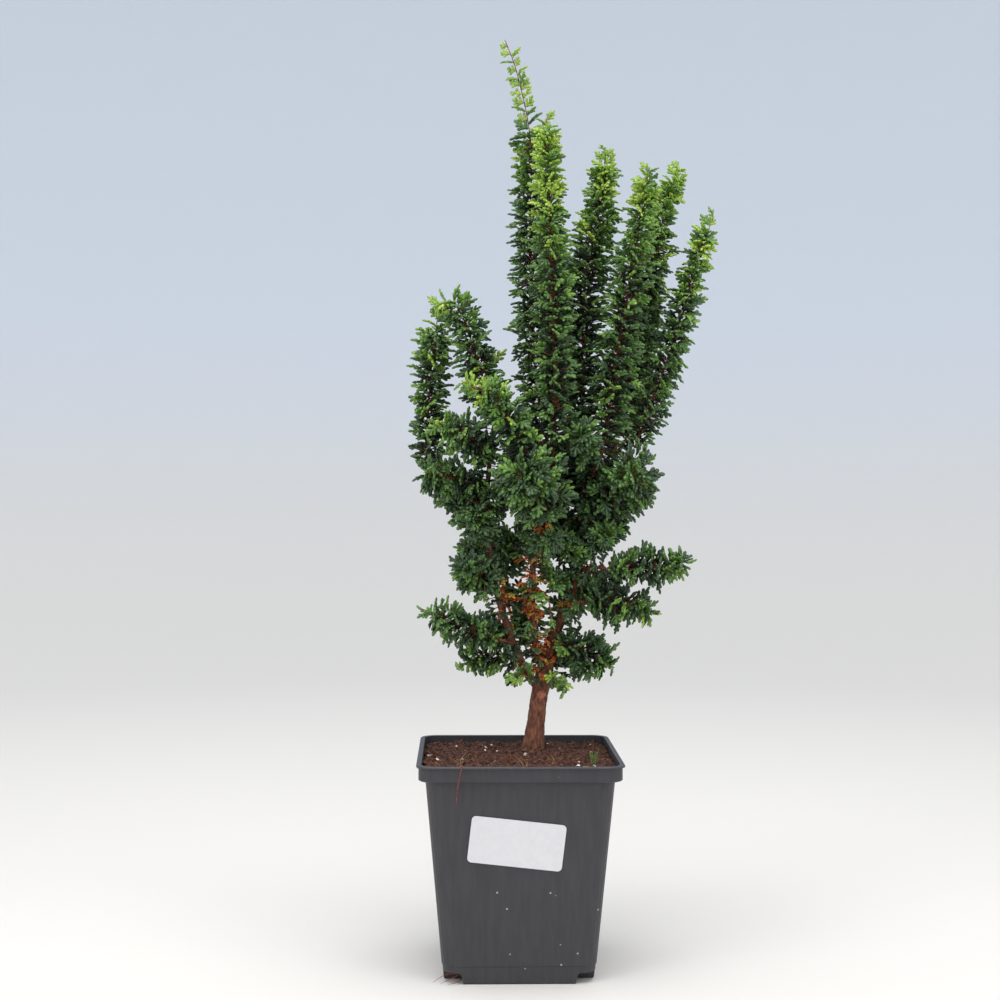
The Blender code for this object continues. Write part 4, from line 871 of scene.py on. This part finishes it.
chance = random.Random(MASS_SEED * 3)
for axis, radii in LIMB_AXES:
    frames = frames_along(axis)
    count = round(path_length(axis) / STEM_GAP)
    for step in range(count):
        index = round((step + 0.5) / count * (len(axis) - 1))
        if axis[index][2] < STEM_FOOT:
            continue
        along = frames[index][0]
        angle = step * GOLDEN_TURN + chance.uniform(-STEM_ANGLE, STEM_ANGLE)
        outward = outward_at(frames[index], angle)
        heading = sagging(outward + along * chance.uniform(*STEM_LEAN), STEM_SAG, chance)
        size = chance.uniform(0.6, 1.0)
        root = axis[index] + outward * (radii[index] + LIMB_CLEARANCE + chance.uniform(*STEM_STAND))
        shares = shares_at(root + heading * FAN_LENGTH * size)
        nearest = int(np.argmin(shares))
        dead = any(norm(root - heart) < width for *heart, width in DEAD_FOLIAGE)
        if shares[nearest] > STEM_MOST_SHARE:
            continue
        if dead and chance.random() < DIED_SHARE:
            tone, size = chance.choice(DEAD_TONES), size * DIED_SIZE
        else:
            tone = chance.choice(STEM_TONES)
        side = unit(np.cross(outward, along)) + along * chance.uniform(-STEM_ROLL, STEM_ROLL)
        if set_spray(nearest, tone, root, heading, side, size, chance.randrange(FULL_FANS)):
            twigs.append((axis[index] + outward * radii[index] * 0.9, root + heading, 0.36))
print("sprays of each tone", {tone: len(rows) for tone, rows in placed.items()}, "twigs", len(twigs))

# %% [markdown]
# ## Joining the sprays
# Particles or instances would keep the file small, but they don't travel with the tree. The sprays
# are joined from arrays into one mesh for each tone, split where a mesh would grow too heavy.

# %% Join sprays into pieces
PIECE_LIMIT = 190000


def add_piece(name, points, faces, finish, slot_name, nodes, smooth=True):
    """Makes a piece from arrays of millimetre points and of triangles, and seats it."""
    mesh = bpy.data.meshes.new(name)
    mesh.from_pydata((points * MM).tolist(), [], faces.tolist())
    mesh.polygons.foreach_set("use_smooth", np.full(len(faces), smooth))
    mesh.validate()
    mesh.materials.append(finish)
    seat(add_object(name, mesh), slot_name, *nodes)
    print(name, len(faces), "triangles")


def join_sprays(rows):
    """Points and faces of all those sprays, in parts where there are too many triangles."""
    made, points, faces, corner, triangles = [], [], [], 0, 0
    for root, turn, size, kind in rows:
        fan_points, fan_faces = fans[kind]
        if triangles + len(fan_faces) > PIECE_LIMIT:
            made.append((np.vstack(points), np.vstack(faces)))
            points, faces, corner, triangles = [], [], 0, 0
        points.append(fan_points * size @ turn.T + root)
        faces.append(fan_faces + corner)
        corner += len(fan_points)
        triangles += len(fan_faces)
    return made + [(np.vstack(points), np.vstack(faces))]


for tone, (slot_name, dark, pale) in TONES.items():
    finish = scaly("foliage_" + tone, dark, pale)
    nodes = sorted(mass_of_tone[tone])
    for count, (points, faces) in enumerate(join_sprays(placed[tone])):
        add_piece(f"foliage_{tone}_{count + 1}", points, faces, finish, slot_name, nodes)

# %% [markdown]
# ## Twigs
# Each spray hangs on a reddish twig thinner than a pencil lead. They could be curves with a bevel,
# but thousands of those are slow, so each is a three-sided sliver from array arithmetic, and all
# are joined in one piece.

# %% Grow the twigs
TWIG_END_SHARE = 0.6
TWIG_CORNERS = [2 * math.pi * side / 3 for side in range(3)]
TWIG_FACES = np.array(((0, 1, 4), (0, 4, 3), (1, 2, 5), (1, 5, 4), (2, 0, 3), (2, 3, 5),
                       (2, 1, 0), (3, 4, 5)))


def join_twigs(name, rows, finish, slot_name, *nodes):
    """Slivers between pairs of points, joined into one piece."""
    points, faces = [], []
    for start, end, radius in rows:
        along = unit(end - start)
        steep = abs(along[2]) >= NEARLY_PARALLEL
        across = unit(np.cross(along, (1.0, 0.0, 0.0) if steep else (0.0, 0.0, 1.0)))
        up = np.cross(along, across)
        faces.append(TWIG_FACES + len(points))
        for place, width in ((start, radius), (end, radius * TWIG_END_SHARE)):
            for angle in TWIG_CORNERS:
                points.append(place + outward_at((along, across, up), angle) * width)
    add_piece(name, np.array(points), np.vstack(faces), finish, slot_name, nodes)


twig_finish = mottled("twig_bark", (88, 42, 28), (158, 96, 56), 500.0, 0.8)
join_twigs("twigs", twigs, twig_finish, "bark", *[mass.name for mass in MASSES])

# %% [markdown]
# ## The peat
# The pot is filled with reddish fibrous peat, heaped to the trunk, with white grains of perlite.
# The heap could be displaced by a texture, but crumbs stand free of it and cast small shadows. So
# its top is split finely and roughened, and small crumbs and grains are strewn over it.

# %% Roughen the heap of peat
SOIL_CUTS = 3
SOIL_ROUGHNESS = 0.6
SOIL_GRAINS = (0.5, 1.3)
SOIL_SKIN = 6.0
SOIL_HALF_SIDE = 50.0
WELD = 0.02 * MM

soil_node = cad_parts["soil"]
soil = add_object("peat_heap", soil_node.data.copy())
soil.matrix_world = soil_node.matrix_world
work_on(soil)
bpy.ops.object.transform_apply()
bpy.ops.object.mode_set(mode="EDIT")
bpy.ops.mesh.select_all(action="SELECT")
bpy.ops.mesh.remove_doubles(threshold=WELD)
bpy.ops.mesh.subdivide(number_cuts=SOIL_CUTS)
bpy.ops.object.mode_set(mode="OBJECT")
soil_top = max(vertex.co.z for vertex in soil.data.vertices)
for vertex in soil.data.vertices:
    in_mm = vertex.co / MM
    inside = max(abs(in_mm.x), abs(in_mm.y)) < SOIL_HALF_SIDE
    if inside and in_mm.z > soil_top / MM - SOIL_SKIN:
        rise = noise.noise(in_mm * SOIL_GRAINS[0]) + noise.noise(in_mm * SOIL_GRAINS[1])
        vertex.co.z += rise * SOIL_ROUGHNESS * MM
coat(soil, mottled("peat", (40, 24, 19), (98, 58, 44), 500.0, 0.95, 1.0))
seat(soil, "peat", "soil")
print("heap of peat", len(soil.data.polygons), "faces")

# %% Strew crumbs and perlite
CRUMB_COUNT = 3000
PERLITE_COUNT = 46
STREW_HALF_SIDE = 51.2
TRUNK_FOOT_RADIUS = 8.5
CUBE = np.array([(x, y, z) for x in (-1, 1) for y in (-1, 1) for z in (-1, 1)], float) * 0.58
CUBE_FACES = np.array(((0, 1, 3), (0, 3, 2), (4, 6, 7), (4, 7, 5), (0, 4, 5), (0, 5, 1),
                       (2, 3, 7), (2, 7, 6), (0, 2, 6), (0, 6, 4), (1, 5, 7), (1, 7, 3)))
CORNER_SHIFT = 0.14


def heap_height(across, away):
    """Height of the peat in millimetres at a place, by a ray from above."""
    hit, place, _, _ = soil.ray_cast((across * MM, away * MM, 1.0), (0, 0, -1))
    return place.z / MM if hit else None


def random_turn(chance):
    """A turn about a random line, as a matrix."""
    line = Vector([chance.uniform(-1, 1) for _ in range(3)])
    return np.array(Matrix.Rotation(chance.uniform(0, ANY_TURN), 3, line.normalized()))


def strew(name, count, size_range, finish, seed):
    """Small angular grains dropped at random over the heap, joined into one piece."""
    chance = random.Random(seed)
    trunk_x, trunk_y = TRUNK_PATH[0][:2]
    points, faces = [], []
    for _ in range(count):
        across = chance.uniform(-STREW_HALF_SIDE, STREW_HALF_SIDE)
        away = chance.uniform(-STREW_HALF_SIDE, STREW_HALF_SIDE)
        height = heap_height(across, away)
        if height is None or math.hypot(across - trunk_x, away - trunk_y) < TRUNK_FOOT_RADIUS:
            continue
        size = chance.uniform(*size_range)
        grain = CUBE * (1.0, chance.uniform(0.6, 1.0), chance.uniform(0.5, 1.0)) * size
        grain = grain + np.array([[chance.uniform(-CORNER_SHIFT, CORNER_SHIFT) * size for _ in range(3)]
                                  for _ in range(8)])
        grain = grain @ random_turn(chance).T
        lift = chance.uniform(-0.15, 0.4) * size
        faces.append(CUBE_FACES + 8 * len(points))
        points.append(grain + (across, away, height + lift))
    add_piece(name, np.vstack(points), np.vstack(faces), finish, "peat", ["soil"], smooth=False)


dark_crumb = mottled("peat_crumb_dark", (34, 22, 18), (104, 64, 48), 420.0, 0.95)
pale_crumb = mottled("peat_crumb_pale", (110, 66, 44), (168, 116, 82), 900.0, 0.95)
perlite = mottled("perlite", (214, 202, 188), (240, 232, 222), 800.0, 0.9, 0.6)
strew("peat_crumbs_dark", CRUMB_COUNT, (0.6, 2.6), dark_crumb, 31)
strew("peat_crumbs_pale", CRUMB_COUNT // 5, (0.4, 1.3), pale_crumb, 32)
strew("perlite_grains", PERLITE_COUNT, (1.1, 2.1), perlite, 33)

# %% Strew the fibres
FIBRE_COUNT = 1100

chance = random.Random(34)
fibres = []
for _ in range(FIBRE_COUNT):
    across = chance.uniform(-SOIL_HALF_SIDE, SOIL_HALF_SIDE)
    away = chance.uniform(-SOIL_HALF_SIDE, SOIL_HALF_SIDE)
    height = heap_height(across, away)
    if height is None:
        continue
    heading = np.array((math.cos(chance.uniform(0, ANY_TURN)), math.sin(chance.uniform(0, ANY_TURN)),
                        chance.uniform(-0.1, 0.6)))
    start = np.array((across, away, height + 0.1))
    reach = chance.uniform(1.8, 6.0)
    radius = chance.uniform(0.1, 0.24)
    fibres.append((start, start + heading * reach, radius))
join_twigs("peat_fibres", fibres, pale_crumb, "peat", "soil")

# %% [markdown]
# ## Small growth on the peat
# Young grass stands and a fallen sprig lies on the right, dried stalks lean at the front and left,
# a root strand hangs over the front rim, and thin roots come out by the left foot. A strand could
# be a bevelled curve, but at this size a few slivers end to end follow a bend closely enough.

# %% Grow the grass and the stalks
GRASS_ROOT = (40.0, -24.0)
STALK_ROOTS = ((-32, -30, 6), (3, -38, 4), (18, -33, 6))
STALK_SEED = 50
STRAND_PIECES = 8
STRAND_TAPER = 0.75


def bent_strand(start, middle, end, radius):
    """Slivers along a curve through three points, thinning to its end."""
    line = smooth_path((start, middle, end), STRAND_PIECES + 1)
    return [(first, second, radius * (1.0 - STRAND_TAPER * step / STRAND_PIECES))
            for step, (first, second) in enumerate(zip(line, line[1:]))]


def tuft(across, away, count, height_range, radius, seed, lean=0.5):
    """Bent blades from one root place."""
    chance = random.Random(seed)
    foot = heap_height(across, away)
    blades = []
    for _ in range(count):
        turn = chance.uniform(0, ANY_TURN)
        tall = chance.uniform(*height_range)
        out = np.array((math.cos(turn), math.sin(turn), 0.0)) * tall * lean * chance.uniform(0.4, 1.0)
        start = np.array((across + chance.uniform(-1, 1), away + chance.uniform(-1, 1), foot - 0.4))
        middle = start + out * 0.3 + (0, 0, tall * 0.6)
        blades += bent_strand(start, middle, start + out + (0, 0, tall), radius)
    return blades


grass_finish = mottled("grass", (70, 110, 40), (126, 160, 74), 500.0, 0.5)
dry_finish = mottled("dried_stalk", (120, 88, 56), (186, 150, 104), 500.0, 0.8)
blades = tuft(*GRASS_ROOT, 11, height_range=(4, 9), radius=0.42, seed=41)
join_twigs("grass_tuft", blades, grass_finish, "foliage_green", "soil")
stalks = []
for number, root in enumerate(STALK_ROOTS):
    stalks += tuft(*root, height_range=(3, 8), radius=0.36, seed=STALK_SEED + number, lean=0.9)
join_twigs("dried_stalks", stalks, dry_finish, "bark", "soil")

# %% Lay the sprig and the roots
SPRIG_PLACE = (36.0, -36.0)
SPRIG_SIZE = 0.6
SPRIG_LIFT = 0.9
ROOT_STRAND = ((-30, -47, 113.5), (-30.8, -55.4, 118), (-33, -55.6, 108), (-34, -54.6, 98))
FOOT_ROOTS = (((-31, -37, 5), (-36, -40, 3.4), (-42, -41, 0.8)),
              ((-32, -36, 4), (-39, -38.5, 5), (-46, -40, 1.2)),
              ((-30, -37, 3), (-33, -41, 1.6), (-38, -42, 0.7)))

sprig_fan, sprig_faces = fans[1]
sprig_points = sprig_fan * SPRIG_SIZE + (*SPRIG_PLACE, heap_height(*SPRIG_PLACE) + SPRIG_LIFT)
sprig_finish = scaly("fallen_sprig", (150, 160, 50), (196, 196, 80))
add_piece("fallen_sprig", sprig_points, sprig_faces, sprig_finish, "foliage_pale", ["soil"])
root_finish = mottled("root_strand", (98, 44, 30), (156, 84, 56), 500.0, 0.7)
foot_roots = [piece for bend in FOOT_ROOTS for piece in bent_strand(*bend, 0.42)]
join_twigs("foot_roots", foot_roots, root_finish, "bark")
strand_line = smooth_path(ROOT_STRAND, 22)
strand = [(first, second, 0.4) for first, second in zip(strand_line, strand_line[1:])]
join_twigs("root_strand", strand, root_finish, "bark", "soil")

# %% [markdown]
# ## The pot and its label
# The pot is thin moulded plastic, dark warm grey, matt and slightly streaked upright by the mould
# and by water marks, with pale specks. The label is a white rectangle stuck on at a slant. It could
# carry print, but it is kept plain. Both keep their solids' shapes, which are already true.

# %% Finish the pot and the label
SPECK_GRAIN = 110.0
SPECK_SIZE = 0.055
pot_finish = mottled("pot_plastic", (44, 43, 47), (55, 54, 58), 60.0, 0.5, 0.05,
                     (6.0, 6.0, 0.7), (0.25, 0.75))
tree = pot_finish.node_tree
base_colour = tree.nodes["Principled BSDF"].inputs["Base Color"]
cells = add_node(tree, "TexVoronoi", Scale=SPECK_GRAIN)
near = add_node(tree, "Math")
near.operation = "LESS_THAN"
near.inputs[1].default_value = SPECK_SIZE
dusted = add_node(tree, "Mix")
dusted.data_type = "RGBA"
dusted.inputs["B"].default_value = (*linear(168, 162, 156), 1.0)
wire(tree, tree.nodes["Texture Coordinate"].outputs["Object"], cells.inputs["Vector"],
     cells.outputs["Distance"], near.inputs[0],
     near.outputs["Value"], dusted.inputs["Factor"],
     base_colour.links[0].from_socket, dusted.inputs["A"],
     dusted.outputs["Result"], base_colour)
label_finish = mottled("label_paper", (208, 206, 208), (214, 212, 214), 300.0, 0.6)
for node_name, finish in (("pot", pot_finish), ("sticker", label_finish)):
    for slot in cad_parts[node_name].material_slots:
        slot.material = finish
    print(node_name, "finished as", finish.name)

# %% [markdown]
# ## Light
# The photograph was lit by a large soft light from above and a little in front, on a pale ground.
# One lamp would leave hard shadows, so a big soft panel overhead is helped by two weak ones at the
# sides and by a pale sky. The ground curves up all round like a paper sweep, so no edge shows.

# %% Set the sweep
SWEEP_START = 1.3
SWEEP_RADIUS = 1.7
SWEEP_RINGS = 24
SWEEP_SIDES = 96
SWEEP_FADE = 0.7

rings = [(0.01, 0.0)] + [(SWEEP_START + SWEEP_RADIUS * math.sin(turn), SWEEP_RADIUS * (1 - math.cos(turn)))
                         for turn in np.linspace(0.0, math.pi / 2, SWEEP_RINGS)]
floor_points = [(out * math.cos(turn), out * math.sin(turn), height) for out, height in rings
                for turn in np.linspace(0.0, 2 * math.pi, SWEEP_SIDES, endpoint=False)]
floor_faces = [tuple(range(SWEEP_SIDES))]
for inner in range(0, SWEEP_SIDES * (len(rings) - 1), SWEEP_SIDES):
    outer = inner + SWEEP_SIDES
    for side in range(SWEEP_SIDES):
        after = (side + 1) % SWEEP_SIDES
        floor_faces.append((inner + side, inner + after, outer + after, outer + side))
floor_mesh = bpy.data.meshes.new("floor")
floor_mesh.from_pydata(floor_points, [], floor_faces)
floor = add_object("floor", floor_mesh)
floor_finish = mottled("floor", (222, 217, 210), (213, 218, 225), 1.0, 0.85, contrast=(0.0, 1.0))
tree = floor_finish.node_tree
split = add_node(tree, "SeparateXYZ")
climb = add_node(tree, "MapRange", From_Max=SWEEP_FADE)
climb.interpolation_type = "SMOOTHSTEP"
wire(tree, tree.nodes["Texture Coordinate"].outputs["Object"], split.inputs["Vector"],
     split.outputs["Z"], climb.inputs["Value"],
     climb.outputs["Result"], tree.nodes["Color Ramp"].inputs["Fac"])
coat(floor, floor_finish)
print("sweep", len(floor_faces), "faces")

# %% Set the panels and the sky
PANELS = (("above", (0.0, -0.35, 1.5), 1.2, 14.0), ("left", (-1.3, -1.1, 0.9), 1.0, 8.0),
          ("right", (1.3, -1.0, 0.8), 1.0, 6.0))
TREE_MIDDLE = Vector((0.0, 0.0, 0.25))
SKY_STRENGTH = 1.05

for name, place, width, power in PANELS:
    light = bpy.data.lights.new("panel_" + name, "AREA")
    light.shape = "DISK"
    light.size = width
    light.energy = power
    panel = add_object("panel_" + name, light)
    panel.location = place
    panel.rotation_euler = (TREE_MIDDLE - Vector(place)).to_track_quat("-Z", "Y").to_euler()
world = bpy.data.worlds.new("studio")
bpy.context.scene.world = world
world.use_nodes = True
sky = world.node_tree.nodes["Background"]
sky.inputs["Color"].default_value = (*linear(230, 236, 244), 1.0)
sky.inputs["Strength"].default_value = SKY_STRENGTH
bpy.context.scene.view_settings.view_transform = "Standard"
print("panels", len(PANELS))

# %% [markdown]
# ## Last measure
# The dressed tree should stay inside the imported solids' box, so that box is written down.

# %% Write down the solids' box and finish
print("cad in mm", [round(side / MM, 1) for side in (*cad_low, *cad_high)])
